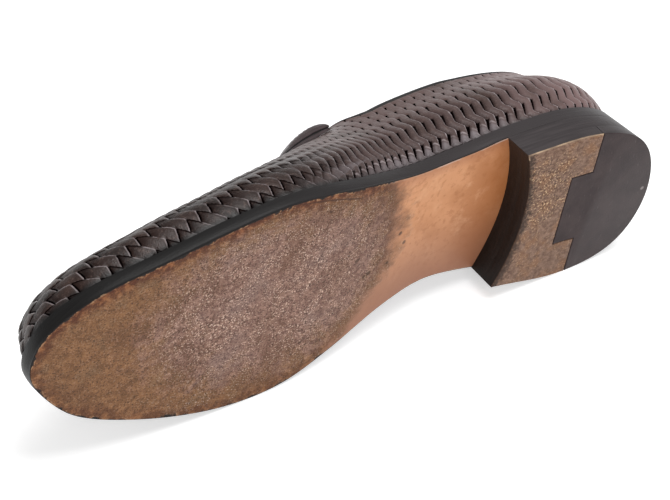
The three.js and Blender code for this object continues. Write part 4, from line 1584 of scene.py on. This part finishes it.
def breast_depth(x, y, *wobbles):
    """Ragged distance behind the hollow edge of the heel breast."""
    share = y * (1 / BREAST_WIDE) + (0.5 - BREAST_MIDDLE / BREAST_WIDE)
    depth = share * (1.0 - share) * (-4 * HEEL_BREAST_HOLLOW) + HEEL_BREAST_X - x
    for wobble in wobbles:
        depth = (wobble - 0.5) * BREAST_RAGGED + depth
    return depth


def lift_leather_finish():
    """Worn leather of the top piece: tan and purple-brown, with pale specks and dark pits."""
    finish = Finish("lift_leather", 0.75, specular=0.3)
    place = finish.place()
    x, y, _ = finish.parts(place)
    grit = finish.noise(place, 0.9, 1, 0.6)
    patch = finish.noise(place, 2.2, 3, 0.65)
    blot = finish.noise(place, 10, 3, 0.6)
    gritty = finish.spot(x, y, LIFT_GRIT_AT, LIFT_GRIT_WIDE) * LIFT_GRIT + LIFT_GRIT_LEAST
    finish.colour(finish.layered(finish.ground(patch, *LIFT_GROUND), LIFT_LAYERS, {
        "blot": blot,
        "pale": grit.smooth(0.56, 0.68) * gritty * blot.smooth(0.3, 0.6),
        "dark": grit.smooth(0.44, 0.32) * gritty,
        "smear": breast_depth(x, y, patch, blot),
    }))
    finish.bump(grit * gritty * 1.8 + patch, 0.35)
    return finish.material


def rubber_finish():
    """Matt rubber with fine scuffs across it and one small pale spot."""
    finish = Finish("lift_rubber", 0.55, specular=0.25)
    place = finish.place()
    x, y, _ = finish.parts(place)
    ground = finish.ground(finish.noise(place, 12, 3, 0.6), *RUBBER_GROUND)
    finish.colour(finish.layered(ground, RUBBER_LAYERS, {
        "scuff": finish.noise(finish.stretched(place, (1.0, 0.15, 1.0)), 0.7, 3, 0.6),
        "pale_spot": finish.spot(x, y, RUBBER_PALE_SPOT_AT, RUBBER_PALE_SPOT_WIDE),
    }))
    finish.bump(finish.noise(place, 0.7, 3), 0.1)
    return finish.material


def heel():
    paint = edge_finish("heel_paint", HEEL_TONES)
    breast = edge_finish("breast_paint", BREAST_TONES)
    worn = smooth_leather("worn_corner", CORNER_TONES, 0.7)
    low, high = LIFT_THICK + HEEL_JOINT, HEEL_SEAT_Z - HEEL_JOINT
    heel_piece("heel_block", heel_plan, low, high, [paint, paint, breast], "heel_stack")
    leather = [lift_leather_finish(), paint, breast, worn]
    heel_piece("top_piece_leather", leather_plan, 0, LIFT_THICK, leather, "heel_lift_leather")
    rubber = [rubber_finish(), paint, breast]
    heel_piece("top_piece_rubber", rubber_plan, 0, LIFT_THICK, rubber, "heel_lift_rubber")


# Insole
def insole(lining):
    plan = plan_loop(INSOLE_STATIONS)
    plain = inset_loop(plan, INSOLE_INSET)
    tucked = inset_loop(plan, INSOLE_INSET + INSOLE_TOE_INSET)
    toe = np.clip((plain[:, :1] - INSOLE_TOE_X) / INSOLE_TOE_SPAN, 0, 1)
    loop = plain + (tucked - plain) * toe
    top = SEAM_GAP + INSOLE_THICK
    rings = []
    for height, inset in ((SEAM_GAP, 0), (top - INSOLE_CHAMFER, 0), (top, INSOLE_CHAMFER)):
        ring = inset_loop(loop, inset)
        rings.append(raised(ring, sole_top(ring[:, 0]) + height))
    under = across_points(rings[0], INSOLE_UNDER_ACROSS, lambda x: sole_top(x) + SEAM_GAP)
    over = across_points(rings[-1], INSOLE_ACROSS, lambda x: sole_top(x) + top)
    points, (bottom, bands, cover) = plate(rings, under, over)
    faces = [*bottom, *bands, *cover]
    make_piece("sock_lining", points, faces, [lining], "insole", None, SOLE_SHARP)


# Floor, light and camera
def floor():
    mesh = bpy.data.meshes.new("floor")
    half = FLOOR_SIZE / 2
    corners = [(-half, -half, 0), (half, -half, 0), (half, half, 0), (-half, half, 0)]
    mesh.from_pydata(corners, [], [(0, 1, 2, 3)])
    finish = Finish("floor_white", 0.9, specular=0.1)
    finish.colour(FLOOR_COLOUR)
    finish.set("Emission Color", WHITE)
    finish.set("Emission Strength", FLOOR_GLOW)
    mesh.materials.append(finish.material)
    ground = bpy.data.objects.new("floor", mesh)
    bpy.context.scene.collection.objects.link(ground)


def area_light(name, place, target, power):
    data = bpy.data.lights.new(name, "AREA")
    data.size = LIGHT_SIZE
    data.energy = power
    lamp = bpy.data.objects.new(name, data)
    lamp.location = place
    lamp.rotation_euler = (Vector(target) - Vector(place)).to_track_quat("-Z", "Y").to_euler()
    bpy.context.scene.collection.objects.link(lamp)


def light():
    world = bpy.data.worlds.new("studio")
    world.use_nodes = True
    background = world.node_tree.nodes["Background"]
    background.inputs["Color"].default_value = WHITE
    background.inputs["Strength"].default_value = WORLD_STRENGTH
    bpy.context.scene.world = world
    for lamp in LIGHTS:
        area_light(*lamp)


def camera():
    place = Vector(to_row(CAMERA_PLACE))
    back = (place - Vector(to_row(CAMERA_TARGET))).normalized()
    up = Vector(TURN @ np.array(CAMERA_UP))
    right = up.cross(back).normalized()
    up = back.cross(right)
    data = bpy.data.cameras.new("camera")
    data.sensor_fit = "HORIZONTAL"
    data.sensor_width = SENSOR
    data.lens = FOCAL_PIXELS / PHOTO_WIDE * SENSOR
    data.clip_end = CAMERA_FAR
    view = bpy.data.objects.new("camera", data)
    turn = Matrix((right, up, back)).transposed().to_4x4()
    view.matrix_world = Matrix.Translation(place) @ turn
    bpy.context.scene.collection.objects.link(view)
    bpy.context.scene.camera = view


LINING = smooth_leather("lining_leather", LINING_TONES, 0.55)
woven_upper(LINING)
collar_binding()
instep_strap()
outsole()
heel()
insole(LINING)
floor()
light()
camera()
bpy.context.scene.view_settings.view_transform = "Standard"
